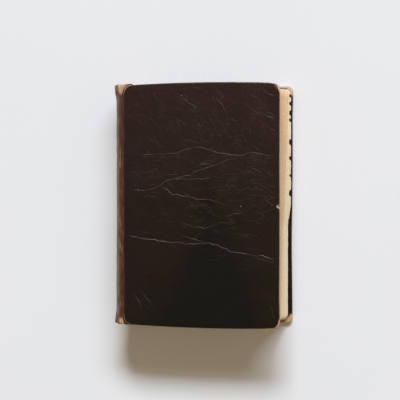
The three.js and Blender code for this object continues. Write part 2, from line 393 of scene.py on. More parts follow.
@dataclass(frozen=True)
class CoverLeatherFinish:
    """Dark polished leather, with painted shade at the tail and painted highlights on its creases. The mesh paints
    on it how worn it is and how deep its creases are.
    """

    name: str = "cover_leather_polished"
    brown: Colour = display_colour(38, 22, 16)
    purple: Colour = display_colour(40, 24, 24)
    # Colour of the painted shade over the tail half.
    shade_black: Colour = display_colour(10, 10, 6)
    russet: Colour = display_colour(62, 33, 22)
    # Colour of the painted highlights along the creases.
    crease_highlight: Colour = display_colour(126, 104, 96)
    rubbed: Colour = display_colour(104, 66, 44)
    raw: Colour = display_colour(192, 171, 152)
    torn: Colour = display_colour(190, 152, 116)
    crease_highlight_width: float = 0.32
    clouds: float = 48 * MM
    patches: float = 16 * MM
    mottle: float = 3.2 * MM
    grain: float = 0.9 * MM
    pores: float = 0.45 * MM
    specks: float = 17 * MM
    relief: float = 0.09 * MM
    gloss: float = 0.24

    def _wrinkles(self, recipe: Recipe, place: Socket) -> Value:
        """A web of fine wrinkles, most of them running across the cover.

        Args:
            recipe: The material.
            place: The point of the surface.

        Returns:
            1 on a wrinkle, 0 elsewhere.
        """
        across = recipe.noise(recipe.stretched(place, (0.3, 1.0, 1.0)), 6 * MM, 2, 0.5, 0.3)
        slanting = recipe.noise(recipe.stretched(place, (1.0, 0.35, 1.0)), 5 * MM, 2, 0.5, 0.3)
        where = recipe.noise(place, 30 * MM, 2)
        headward = recipe.axes(place)[1].ease(-0.045, 0.02)
        first = abs(across - 0.5).ease(0.016, 0.002) * where.ease(0.42, 0.6)
        second = abs(slanting - 0.52).ease(0.014, 0.002) * where.ease(0.6, 0.44)
        return first.at_least(second * 0.8) * (0.15 + headward * 0.85)

    def material(self) -> Material:
        """Builds the material.

        Returns:
            The leather.
        """
        recipe = Recipe(self.name)
        place = recipe.place()
        clouds = recipe.noise(place, self.clouds, 4, 0.6, 0.4)
        patches = recipe.noise(place, self.patches, 5, 0.62)
        mottle = recipe.noise(place, self.mottle, 5, 0.68)
        grain = recipe.cells(place, self.grain)
        pores = recipe.noise(place, self.pores, 3, 0.6)
        fine = self._wrinkles(recipe, place)
        across, along, _ = recipe.axes(place)
        worn = recipe.attribute("wear")
        beside = abs(recipe.attribute("beside_crease"))
        crease = beside.ease(self.crease_highlight_width, 0.04) * recipe.attribute("crease")

        base = recipe.blend(patches.ease(0.42, 0.68), self.brown, self.purple)
        base = recipe.blend(mottle.ease(0.5, 0.78) * 0.5, base, self.russet)

        # Painted shade: the tail half gets darker, most of all in a patch near the middle.
        tailward_shade = (0.1 - along) / 0.1 + (clouds - 0.5) * 1.2
        shade_pool = (0.03 - along) / 0.1 - abs(across - 0.012) * 18 + (clouds - 0.5) * 2.0
        painted_shade = tailward_shade.ease(0.0, 1.1) * 0.58 + shade_pool.ease(-0.2, 0.7) * 0.42
        base = recipe.blend(painted_shade, base, self.shade_black)

        # Painted highlights: pale streaks along the creases and, faintly, along the fine wrinkles.
        lines = crease.at_least(fine * 0.07)
        base = recipe.blend(lines * (0.15 + mottle * 0.75), base, self.crease_highlight)

        # Wear takes the colour first and then bares the leather, which is redder at the tail.
        loss = worn + (mottle - 0.5) * 0.8 + (patches - 0.5) * 0.25
        base = recipe.blend(loss.ease(0.28, 0.56), base, self.rubbed)
        bare = recipe.blend(along.ease(-0.05, -0.09), self.raw, self.torn)
        base = recipe.blend(loss.ease(0.58, 0.86), base, bare)
        specks = recipe.cells(place, self.specks).ease(0.03, 0.018)
        base = recipe.blend(specks * 0.45, base, self.raw)

        roughness = 0.3 + mottle * 0.16 + loss.ease(0.3, 0.7) * 0.38
        height = grain.ease(0.05, 0.75) * 0.5 + pores * 0.2 + mottle * 0.7
        height = height + fine * 0.4 + crease * 1.6
        return recipe.finish(base, roughness, height, self.relief, self.gloss)


@dataclass(frozen=True)
class SpineLeatherFinish:
    """The spine's leather: faded on its round, cracked and rubbed in the joints."""

    name: str = "spine_leather_faded"
    dark: Colour = display_colour(56, 36, 25)
    faded: Colour = display_colour(138, 114, 92)
    rubbed: Colour = display_colour(98, 54, 28)
    ridge: Colour = display_colour(52, 35, 28)
    cracked: Colour = display_colour(38, 20, 12)
    raw: Colour = display_colour(198, 160, 126)
    patches: float = 13 * MM
    mottle: float = 3 * MM
    streaks: float = 1.6 * MM
    cracks: float = 2.4 * MM
    grain: float = 1.0 * MM
    fibres: float = 0.35 * MM
    relief: float = 0.16 * MM
    gloss: float = 0.24

    def material(self) -> Material:
        """Builds the material.

        Returns:
            The leather.
        """
        recipe = Recipe(self.name)
        place = recipe.sheet_place()
        lengthwise = recipe.stretched(place, (1.0, 0.16, 1.0))
        slightly_long = recipe.stretched(place, (1.0, 0.3, 1.0))
        patches = recipe.noise(place, self.patches, 5, 0.62)
        mottle = recipe.noise(place, self.mottle, 5, 0.66)
        streaks = recipe.noise(lengthwise, self.streaks, 4, 0.6)
        fibres = recipe.noise(place, self.fibres, 3, 0.7)
        grain = recipe.cells(place, self.grain)
        cracks = abs(recipe.noise(slightly_long, self.cracks, 3, 0.6, 0.6) - 0.5).ease(0.02, 0.002)
        worn = recipe.attribute("wear")
        fade = recipe.attribute("fade")
        crest = recipe.attribute("ridge")
        crack = recipe.attribute("crack")

        faded = fade + (patches - 0.5) * 0.9 + (streaks - 0.5) * 0.5
        base = recipe.blend(faded.ease(0.25, 0.85), self.dark, self.faded)
        rubbed = worn + (streaks - 0.5) * 0.5 + (patches - 0.5) * 0.4 + (fibres - 0.5) * 0.9
        base = recipe.blend(rubbed.ease(0.32, 0.6), base, self.rubbed)
        base = recipe.blend(crest * (0.35 + streaks), base, self.ridge)
        base = recipe.blend(rubbed.ease(0.66, 0.95), base, self.raw)
        broken = (crack * (0.5 + streaks)).at_least(cracks * 0.45 * (1 - fade * 0.5))
        base = recipe.blend(broken, base, self.cracked)

        roughness = 0.5 + mottle * 0.15 + rubbed.ease(0.3, 0.8) * 0.2
        height = fibres * worn + grain.ease(0.05, 0.75) * 0.4 + mottle * 0.8
        height = height + streaks * 0.6 - broken * 0.8
        return recipe.finish(base, roughness, height, self.relief, self.gloss)


@dataclass(frozen=True)
class PaperFinish:
    """Old paper: toned towards its edges, with foxing and, on album leaves, frames."""

    name: str
    sheet: Colour = display_colour(228, 212, 182)
    toned: Colour = display_colour(220, 190, 151)
    fox: Colour = display_colour(168, 118, 76)
    dust: Colour = display_colour(112, 94, 76)
    ink: Colour = display_colour(96, 84, 70)
    dusty_from: float = 101.7 * MM
    clouds: float = 30 * MM
    fibres: float = 0.7 * MM
    spots: float = 2.2 * MM
    relief: float = 0.04 * MM
    gloss: float = 0.25
    ruled: bool = False
    first_frame: tuple[float, float] = (-0.031, -0.0745)
    frame_pitch: tuple[float, float] = (0.039, 0.0505)
    frame_half_size: tuple[float, float] = (0.0145, 0.019)
    frame_counts: tuple[int, int] = (3, 4)
    line: float = 0.28 * MM

    def _frames(self, recipe: Recipe, place: Socket) -> Value:
        """Ruled frames in rows, one for each stamp.

        Args:
            recipe: The material.
            place: The point of the sheet.

        Returns:
            1 on a ruled line, 0 elsewhere.
        """
        outer: Number = 1.0
        inner: Number = 1.0
        page: Number = 1.0
        for axis, along in enumerate(recipe.axes(place)[:2]):
            pitch, half = self.frame_pitch[axis], self.frame_half_size[axis]
            cell = (along - self.first_frame[axis]) / pitch + 0.5
            from_middle = abs(cell.fraction() - 0.5) * pitch
            outer = from_middle.ease(half + self.line * 1.2, half + self.line * 0.8) * outer
            inner = from_middle.ease(half + self.line * 0.2, half - self.line * 0.2) * inner
            count = float(self.frame_counts[axis])
            page = cell.ease(-0.01, 0.0) * cell.ease(count + 0.01, count) * page
        return (outer - inner) * page

    def material(self) -> Material:
        """Builds the material.

        Returns:
            The paper.
        """
        recipe = Recipe(self.name)
        place = recipe.sheet_place()
        toning = recipe.attribute("toning")
        leaf = recipe.attribute("leaf")
        clouds = recipe.noise(place, self.clouds, 4, 0.6)
        fibres = recipe.noise(recipe.stretched(place, (1.0, 0.35, 1.0)), self.fibres, 4, 0.7)
        spots = recipe.noise(place, self.spots, 3, 0.7)
        spread = toning + (clouds - 0.5) * 0.5 + (leaf - 0.5) * 0.9
        base = recipe.blend(spread.ease(0.15, 1.05), self.sheet, self.toned)
        base = recipe.blend(leaf.ease(0.8, 1.0) * 0.35, base, self.fox)
        base = recipe.blend(fibres.ease(0.55, 0.8) * 0.18, base, self.toned)
        foxing = spots.ease(0.68, 0.78) * clouds.ease(0.5, 0.65)
        base = recipe.blend(foxing * 0.55, base, self.fox)
        along = recipe.axes(place)[1]
        at_head = along.ease(self.dusty_from, self.dusty_from + 0.5 * MM)
        dusty = at_head * (0.6 + clouds * 0.5)
        base = recipe.blend(dusty, base, self.dust)
        if self.ruled:
            worn_print = 0.55 + fibres * 0.4
            base = recipe.blend(self._frames(recipe, place) * worn_print, base, self.ink)
        return recipe.finish(base, 0.82 + fibres * 0.12, fibres, self.relief, self.gloss)


@dataclass(frozen=True)
class EndpaperFinish:
    """Plain endpaper, browned where it lies against the leather's turned-in edges."""

    name: str
    sheet: Colour = display_colour(208, 184, 144)
    burnt: Colour = display_colour(132, 88, 52)
    clouds: float = 24 * MM
    fibres: float = 0.8 * MM
    spots: float = 3 * MM
    laid_lines: float = 1.1 * MM
    relief: float = 0.05 * MM
    gloss: float = 0.3

    def material(self) -> Material:
        """Builds the material.

        Returns:
            The endpaper.
        """
        recipe = Recipe(self.name)
        place = recipe.sheet_place()
        toning = recipe.attribute("toning")
        clouds = recipe.noise(place, self.clouds, 5, 0.62, 0.5)
        fibres = recipe.noise(place, self.fibres, 4, 0.7)
        spots = recipe.noise(place, self.spots, 3, 0.7)
        spread = toning + (clouds - 0.5) * 0.45
        base = recipe.blend(spread.ease(0.2, 0.9), self.sheet, self.burnt)
        base = recipe.blend(clouds.ease(0.5, 0.7) * 0.3, base, self.burnt)
        base = recipe.blend(spots.ease(0.66, 0.76) * 0.4, base, self.burnt)
        laid = recipe.axes(place)[1] / self.laid_lines
        height = fibres * 0.6 + abs(laid.fraction() - 0.5) * 0.5
        return recipe.finish(base, 0.75 + fibres * 0.15, height, self.relief, self.gloss)


@dataclass(frozen=True)
class WovenFinish:
    """Tape, gauze or thread: a plain weave of two sets of threads."""

    name: str
    thread: Colour
    shade: Colour
    thread_size: float = 0.45 * MM
    openness: float = 0.35
    fuzz: float = 0.3 * MM
    dirt: float = 12 * MM
    relief: float = 0.15 * MM
    gloss: float = 0.2

    def material(self) -> Material:
        """Builds the material.

        Returns:
            The weave.
        """
        recipe = Recipe(self.name)
        place = recipe.place()
        across, along, up = recipe.axes(place)
        weft = abs((along / self.thread_size).fraction() - 0.5) * 2
        warp = abs(((across + up) / self.thread_size).fraction() - 0.5) * 2
        fuzz = recipe.noise(place, self.fuzz, 3, 0.6)
        dirt = recipe.noise(place, self.dirt, 4, 0.6)
        crown = (1 - weft).at_least(1 - warp) + (fuzz - 0.5) * 0.3
        gap = crown.ease(self.openness + 0.3, self.openness)
        base = recipe.blend(gap, self.thread, self.shade)
        base = recipe.blend(dirt.ease(0.45, 0.7) * 0.4, base, self.shade)
        return recipe.finish(base, 0.85 + fuzz * 0.1, crown, self.relief, self.gloss)


@dataclass(frozen=True)
class BoardFinish:
    """Grey-brown paper board or lining, flecked with fibres."""

    name: str
    pulp: Colour
    fleck: Colour
    fibres: float = 0.9 * MM
    clouds: float = 18 * MM
    relief: float = 0.08 * MM
    gloss: float = 0.2

    def material(self) -> Material:
        """Builds the material.

        Returns:
            The board.
        """
        recipe = Recipe(self.name)
        place = recipe.place()
        fibres = recipe.noise(recipe.stretched(place, (1.0, 0.3, 1.0)), self.fibres, 5, 0.7)
        clouds = recipe.noise(place, self.clouds, 3)
        base = recipe.blend(fibres.ease(0.45, 0.7) * 0.6, self.pulp, self.fleck)
        base = recipe.blend(clouds.ease(0.4, 0.7) * 0.3, base, self.fleck)
        return recipe.finish(base, 0.85 + fibres * 0.1, fibres, self.relief, self.gloss)


@dataclass(frozen=True)
class BandFinish:
    """Silk wound round the cord of a headband, in two colours by turns."""

    name: str
    first: Colour = display_colour(134, 46, 36)
    second: Colour = display_colour(206, 184, 140)
    soiled: Colour = display_colour(92, 66, 48)
    turns_to_a_pair: float = 4.0
    fibres: float = 0.25 * MM
    dirt: float = 5 * MM
    relief: float = 0.05 * MM
    gloss: float = 0.4

    def material(self) -> Material:
        """Builds the material.

        Returns:
            The wound silk.
        """
        recipe = Recipe(self.name)
        turn = recipe.attribute("turn")
        fibres = recipe.noise(recipe.place(), self.fibres, 3, 0.6)
        dirt = recipe.noise(recipe.place(), self.dirt, 3, 0.6)
        by_turns = (turn * (1 / self.turns_to_a_pair)).fraction().ease(0.47, 0.53)
        base = recipe.blend(by_turns, self.first, self.second)
        base = recipe.blend(dirt.ease(0.4, 0.7) * 0.5, base, self.soiled)
        return recipe.finish(base, 0.5 + fibres * 0.2, fibres, self.relief, self.gloss)


@dataclass(frozen=True)
class FloorFinish:
    """A plain pale sweep of painted board."""

    name: str = "pale_floor"
    paint: Colour = (0.76, 0.76, 0.765)
    darker: float = 0.96
    clouds: float = 0.25
    stipple: float = 2 * MM
    relief: float = 0.05 * MM
    gloss: float = 0.2

    def material(self) -> Material:
        """Builds the material.

        Returns:
            The floor paint.
        """
        recipe = Recipe(self.name)
        clouds = recipe.noise(recipe.place(), self.clouds, 3)
        stipple = recipe.noise(recipe.place(), self.stipple, 3)
        darker = tuple(channel * self.darker for channel in self.paint)
        base = recipe.blend(clouds, self.paint, darker)
        return recipe.finish(base, 0.75 + stipple * 0.1, stipple, self.relief, self.gloss)


# ---------------------------------------------------------------------------
# Mesh helpers
# ---------------------------------------------------------------------------


class Rumple:
    """Smooth unevenness over a plane, the same on every run."""

    LATTICE = 64

    def __init__(self, seed: int) -> None:
        """Draws the lattice from a seed."""
        self.lattice = np.random.default_rng(seed).random((self.LATTICE, self.LATTICE))

    def at(self, x: Grid, y: Grid, size: float) -> Grid:
        """Reads the unevenness.

        Args:
            x: First coordinates.
            y: Second coordinates.
            size: Distance between the lattice's points.

        Returns:
            Numbers from -1 to 1.
        """
        across, along = x / size, y / size
        left, low = np.floor(across).astype(int), np.floor(along).astype(int)
        s, t = across - left, along - low
        s, t = s * s * (3 - 2 * s), t * t * (3 - 2 * t)
        left, right = left % self.LATTICE, (left + 1) % self.LATTICE
        low, high = low % self.LATTICE, (low + 1) % self.LATTICE
        lower = self.lattice[left, low] * (1 - s) + self.lattice[right, low] * s
        upper = self.lattice[left, high] * (1 - s) + self.lattice[right, high] * s
        return 2 * (lower * (1 - t) + upper * t) - 1


def ease(share: Grid | float) -> Grid | float:
    """Smooth step of a share that is first held between 0 and 1."""
    held = np.clip(share, 0, 1)
    return held * held * (3 - 2 * held)


def hump(distance: Grid, width: float, power: float = 2) -> Grid:
    """1 where a distance is 0, falling smoothly to 0 past its width."""
    return np.exp(-((distance / width) ** power))


def quarter(steps: int) -> Grid:
    """Angles over a quarter turn, without the first."""
    return np.linspace(0, math.pi / 2, steps + 1)[1:]


def run_along(path: Grid) -> Grid:
    """Distance along a flat path from its start to each of its points."""
    return np.concatenate([[0], np.cumsum(np.hypot(*np.diff(path, axis=0).T))])


def grid_faces(index: Grid) -> list[tuple[int, int, int, int]]:
    """Quads of a grid of vertex numbers.

    Args:
        index: Vertex numbers by row and column.

    Returns:
        One quad for each cell.
    """
    corners = (index[:-1, :-1], index[:-1, 1:], index[1:, 1:], index[1:, :-1])
    return [tuple(map(int, quad)) for quad in zip(*(c.ravel() for c in corners))]


@dataclass
class MeshPlan:
    """Vertices, faces and painted numbers of one piece before it becomes an object."""

    points: list[Grid] = field(default_factory=list)
    faces: list[tuple[int, ...]] = field(default_factory=list)
    paint: dict[str, list[Grid]] = field(default_factory=dict)
    count: int = 0

    def add(self, points: Grid, **paint: Grid) -> Grid:
        """Adds vertices.

        Args:
            points: Their places, in an array whose last axis is X, Y, Z.
            paint: Named numbers, one for each vertex.

        Returns:
            The new vertices' numbers, in the shape of the array.
        """
        shape = points.shape[:-1]
        size = int(np.prod(shape))
        self.points.append(points.reshape(-1, 3))
        for name, numbers in paint.items():
            filled = np.broadcast_to(numbers, shape).ravel()
            self.paint.setdefault(name, []).append(filled)
        index = np.arange(self.count, self.count + size).reshape(shape)
        self.count += size
        return index

    def add_slab(self, top: Grid, bottom: Grid, **paint: Grid) -> None:
        """Adds a closed slab between two grids of the same shape.

        Args:
            top: Upper points, by row and column.
            bottom: Lower points.
            paint: Named numbers, used for both grids.
        """
        upper, lower = self.add(top, **paint), self.add(bottom, **paint)
        self.faces += grid_faces(upper) + grid_faces(lower[:, ::-1])
        upper_rim, lower_rim = (
            np.concatenate([i[0, :-1], i[:-1, -1], i[-1, :0:-1], i[::-1, 0]])
            for i in (upper, lower)
        )
        self.faces += grid_faces(np.stack([lower_rim, upper_rim]))

    def build(self, name: str, flat: Grid | None = None, outward: bool = True) -> Piece:
        """Makes the object.

        Args:
            name: The object's name.
            flat: Sheet coordinates of each vertex, in metres, or X and Y if left out.
            outward: Whether the faces are turned to point out of a closed mesh.

        Returns:
            The object, smooth shaded.
        """
        points = np.concatenate(self.points)
        mesh = bpy.data.meshes.new(name)
        mesh.from_pydata(points.tolist(), [], self.faces)
        for label, numbers in self.paint.items():
            attribute = mesh.attributes.new(label, "FLOAT", "POINT")
            attribute.data.foreach_set("value", np.concatenate(numbers).astype(np.float32))
        sheet = points[:, :2] if flat is None else flat
        loops = np.empty(len(mesh.loops), np.int32)
        mesh.loops.foreach_get("vertex_index", loops)
        layer = mesh.uv_layers.new(name="sheet")
        layer.data.foreach_set("uv", sheet[loops].astype(np.float32).ravel())
        if outward:
            shape = bmesh.new()
            shape.from_mesh(mesh)
            bmesh.ops.recalc_face_normals(shape, faces=shape.faces)
            shape.to_mesh(mesh)
            shape.free()
        mesh.polygons.foreach_set("use_smooth", [True] * len(mesh.polygons))
        mesh.update()
        piece = bpy.data.objects.new(name, mesh)
        bpy.context.scene.collection.objects.link(piece)
        return piece


def dress(piece: Piece, material: Material) -> None:
    """Gives a piece its material.

    Args:
        piece: The piece.
        material: Its material.
    """
    piece.data.materials.clear()
    piece.data.materials.append(material)


def thicken(piece: Piece, thickness: float) -> None:
    """Gives an open skin its thickness on the inner side, and applies it.

    Args:
        piece: The skin, with its faces pointing out.
        thickness: The thickness.
    """
    solidify = piece.modifiers.new("thickness", "SOLIDIFY")
    solidify.thickness = thickness
    solidify.offset = -1
    graph = bpy.context.evaluated_depsgraph_get()
    piece.data = bpy.data.meshes.new_from_object(piece.evaluated_get(graph))
    piece.modifiers.clear()


def sharpen(piece: Piece, degrees: float) -> None:
    """Marks edges sharper than an angle, so that thin rims stay crisp.

    Args:
        piece: The piece.
        degrees: The angle.
    """
    piece.data.set_sharp_from_angle(angle=math.radians(degrees))


# ---------------------------------------------------------------------------
# The album's shape
# ---------------------------------------------------------------------------


@dataclass(frozen=True)
class AlbumShape:
    """Sizes that several pieces share, read from the frame where the frame has them."""

    low: Vector
    high: Vector
    lean: float
    thickness: float
    hinge_x: float
    hinge_z: float
    leaf_top: float
    spine_round: float = 10.2 * MM
    shoulder: float = 0.4 * MM
    cap_flare: float = 1.6 * MM
    fore_square: float = 0.6 * MM
    fore_hollow: float = 4.5 * MM
    corner_radius: float = 7 * MM
    leaf_corner_radius: float = 6 * MM

    @classmethod
    def from_frame(cls) -> "AlbumShape":
        """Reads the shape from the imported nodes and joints."""
        low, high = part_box("front_cover_leather")
        back_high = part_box("back_cover_leather")[1]
        leaf_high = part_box("front_free_endpaper")[1]
        hinge = next(j for j in frame["joints"] if j["name"] == "front_cover_hinge")
        hinge_x, _, hinge_z = hinge["pos_m"]
        return cls(
            low, high, back_high.x - high.x, high.z, hinge_x, hinge_z, leaf_high.y
        )

    @property
    def half_height(self) -> float:
        """Half of the covers' height."""
        return self.high.y

    def spine_share(self, z: Grid | float) -> Grid | float:
        """0 in the middle of the spine's height, 1 at either hinge."""
        middle = self.thickness / 2
        return np.abs(z - middle) / (self.hinge_z - middle)

    def lean_at(self, z: Grid | float) -> Grid | float:
        """How far the closed album has leant towards the fore-edge at a height."""
        return self.lean * (1 - z / self.thickness)

    def spine_x(self, z: Grid | float) -> Grid | float:
        """Outer face of the spine at a height."""
        bulge = self.spine_round * (1 - self.spine_share(z) ** 2)
        return self.hinge_x - self.shoulder + self.lean_at(z) - bulge

    def fore_edge_x(self, z: Grid | float) -> Grid | float:
        """Fore-edge of the leaves at a height."""
        hollow = self.fore_hollow * (1 - self.spine_share(z) ** 2)
        return self.high.x - self.fore_square + self.lean_at(z) - hollow

    def to_back(self, points: Grid) -> Grid:
        """Turns points of the front cover over to where the back cover is."""
        x, y, z = np.moveaxis(points, -1, 0)
        return np.stack([x + self.lean, -y, self.thickness - z], -1)


@dataclass(frozen=True)
class Crease:
    """A wrinkle in a cover's leather.

    Its points are shares of the cover: 0 to 1 from spine to fore-edge, and from tail to head.
    """

    points: tuple[tuple[float, float], ...]
    height: float
    width: float


# Height and width of each main crease in millimetres, with the points it runs through.
CREASE_TABLE = (
    (0.2, 0.5, ((0.09, 0.71), (0.26, 0.71), (0.34, 0.712), (0.46, 0.737), (0.55, 0.728),
                (0.62, 0.712), (0.75, 0.703), (0.83, 0.716), (0.99, 0.70))),
    (0.26, 0.55, ((0.05, 0.565), (0.14, 0.558), (0.22, 0.575), (0.29, 0.603), (0.42, 0.622),
                  (0.53, 0.652), (0.62, 0.669), (0.71, 0.692))),
    (0.2, 0.5, ((0.29, 0.603), (0.38, 0.606), (0.46, 0.605), (0.60, 0.614))),
    (0.24, 0.5, ((0.24, 0.582), (0.32, 0.545), (0.42, 0.537), (0.47, 0.523), (0.56, 0.524),
                 (0.66, 0.502))),
    (0.14, 0.45, ((0.34, 0.565), (0.40, 0.55), (0.47, 0.523))),
    (0.22, 0.5, ((0.34, 0.436), (0.44, 0.414), (0.53, 0.409), (0.61, 0.42))),
    (0.14, 0.45, ((0.60, 0.432), (0.67, 0.43), (0.73, 0.445))),
    (0.14, 0.45, ((0.64, 0.45), (0.72, 0.468), (0.78, 0.466))),
    (0.3, 0.6, ((0.02, 0.373), (0.12, 0.362), (0.30, 0.35), (0.46, 0.341), (0.56, 0.347),
                (0.63, 0.335), (0.69, 0.313), (0.80, 0.302), (0.89, 0.297), (0.995, 0.28))),
    (0.16, 0.5, ((0.72, 0.31), (0.84, 0.292), (0.995, 0.262))),
    (0.14, 0.45, ((0.36, 0.382), (0.46, 0.362), (0.56, 0.347))),
    (0.2, 0.45, ((0.61, 0.935), (0.65, 0.895), (0.68, 0.86))),
    (0.12, 0.45, ((0.35, 0.95), (0.42, 0.915), (0.50, 0.89))),
    (0.16, 0.45, ((0.81, 0.955), (0.87, 0.93), (0.90, 0.905))),
    (0.14, 0.4, ((0.88, 0.975), (0.93, 0.955), (0.985, 0.94))),
    (0.16, 0.45, ((0.87, 0.875), (0.93, 0.865), (0.99, 0.845))),
    (0.12, 0.4, ((0.93, 0.82), (0.97, 0.805), (0.995, 0.79))),
    (0.14, 0.45, ((0.05, 0.14), (0.10, 0.10), (0.13, 0.05))),
    (0.14, 0.45, ((0.10, 0.15), (0.16, 0.11), (0.20, 0.07))),
    (0.12, 0.4, ((0.94, 0.11), (0.965, 0.06), (0.975, 0.03))),
    (0.14, 0.45, ((0.80, 0.66), (0.86, 0.645), (0.90, 0.625))),
    (0.12, 0.45, ((0.86, 0.59), (0.93, 0.565), (0.99, 0.54))),
    (0.12, 0.45, ((0.90, 0.53), (0.95, 0.505), (0.99, 0.48))),
)
MAIN_CREASES = tuple(
    Crease(points, height * MM, width * MM) for height, width, points in CREASE_TABLE
)
FULL_CREASE = 0.26 * MM
CREASE_WANDER = 0.7 * MM
CREASE_SIGHT = 1.3 * MM
LONGEST_TIP = 9 * MM
BESIDE_LIMIT = 2.0


@dataclass(frozen=True)
class Spread:
    """Where fine wrinkles gather along a cover, and how they head, as means and spreads."""

    place: tuple[float, float]
    heading: tuple[float, float]


MIDDLE_SPREAD = Spread((0.58, 0.13), (-0.08, 0.3))
HEAD_SPREAD = Spread((0.83, 0.1), (-0.95, 0.35))
FINE_LENGTH = (0.03, 0.13)
FINE_HEIGHT = (0.035, 0.1)
FINE_WIDTH = 0.35 * MM
FINE_BEND = 0.008
WIDTH_TO_HEIGHT = 0.66


def fine_creases(count: int, seed: int) -> list[Crease]:
    """Short fine wrinkles: across the cover in its middle, and slanting near its head.

    Args:
        count: How many.
        seed: Seed of the draws.

    Returns:
        The wrinkles.
    """
    draw = np.random.default_rng(seed)
    creases = []
    for number in range(count):
        in_middle = number % 3 > 0
        spread = MIDDLE_SPREAD if in_middle else HEAD_SPREAD
        u = draw.beta(2.4, 1.4) if in_middle else draw.uniform(0.1, 1.0)
        v = draw.normal(*spread.place)
        heading = draw.normal(*spread.heading)
        length = draw.uniform(*FINE_LENGTH)
        step_u = length * math.cos(heading)
        step_v = length * math.sin(heading) * WIDTH_TO_HEIGHT
        bend = draw.normal(0, FINE_BEND)
        points = tuple(
            (u + step_u * step, v + step_v * step + bend * (1 - 4 * step * step))
            for step in (-0.5, -0.2, 0.15, 0.5)
        )
        creases.append(Crease(points, draw.uniform(*FINE_HEIGHT) * MM, FINE_WIDTH))
    return creases


def nearest_on(path: Grid, x: Grid, y: Grid) -> tuple[Grid, Grid]:
    """How far points are from a path, and on which side of it.

    Args:
        path: The path's corners.
        x: First coordinates of the points.
        y: Their second coordinates.

    Returns:
        The distance to the path, and 1 or -1 for the side.
    """
    near, side = np.full_like(x, np.inf), np.zeros_like(x)
    for (ax, ay), (bx, by) in zip(path[:-1], path[1:]):
        dx, dy = bx - ax, by - ay
        along = np.clip(((x - ax) * dx + (y - ay) * dy) / (dx * dx + dy * dy), 0, 1)
        away = np.hypot(x - ax - along * dx, y - ay - along * dy)
        closer = away < near
        near = np.where(closer, away, near)
        side = np.where(closer, np.sign((x - ax) * dy - (y - ay) * dx), side)
    return near, side


def relief_of(
    creases: Sequence[Crease], u: Grid, v: Grid, size: tuple[float, float]
) -> tuple[Grid, Grid, Grid]:
    """Height and visibility of wrinkles over a cover.

    Args:
        creases: The wrinkles.
        u: Share from spine to fore-edge, at each vertex.
        v: Share from tail to head.
        size: The cover's width and height.

    Returns:
        The height in metres; how strongly the nearest wrinkle's painted highlight shows, from 0
        to 1; and how far to one or the other side of it each vertex lies, in millimetres.
    """
    width, height = size
    wander, thin = Rumple(11), Rumple(12)
    flat_u, flat_v = u.ravel(), v.ravel()
    x = flat_u * width + CREASE_WANDER * wander.at(flat_u * width, flat_v * height, 5 * MM)
    y = flat_v * height + CREASE_WANDER * wander.at(flat_v * height, flat_u * width, 4 * MM)
    strength = 0.7 + 0.45 * thin.at(x, y, 7 * MM)
    lift, shown = np.zeros_like(x), np.zeros_like(x)
    beside = np.full_like(x, BESIDE_LIMIT)
    for crease in creases:
        path = np.array(crease.points) * (width, height)
        reach = crease.width * 8
        low, high = path.min(0) - reach, path.max(0) + reach
        around = (x > low[0]) & (x < high[0]) & (y > low[1]) & (y < high[1])
        px, py = x[around], y[around]
        near, side = nearest_on(path, px, py)
        to_start = np.hypot(px - path[0][0], py - path[0][1])
        to_end = np.hypot(px - path[-1][0], py - path[-1][1])
        tip = min(LONGEST_TIP, 0.4 * np.hypot(*(path[-1] - path[0])))
        fade = strength[around] * (0.1 + 0.9 * ease(np.minimum(to_start, to_end) / tip))
        ridge, valley = hump(near, crease.width), hump(near, crease.width * 3)
        lift[around] += crease.height * fade * (ridge - 0.45 * valley)
        seen = fade * crease.height / FULL_CREASE * hump(near, CREASE_SIGHT)
        wins = seen > shown[around]
        shown[around] = np.where(wins, seen, shown[around])
        beside[around] = np.where(wins, side * near / MM, beside[around])
    clear, apart = np.clip(shown, 0, 1), np.clip(beside, -BESIDE_LIMIT, BESIDE_LIMIT)
    return lift.reshape(u.shape), clear.reshape(u.shape), apart.reshape(u.shape)


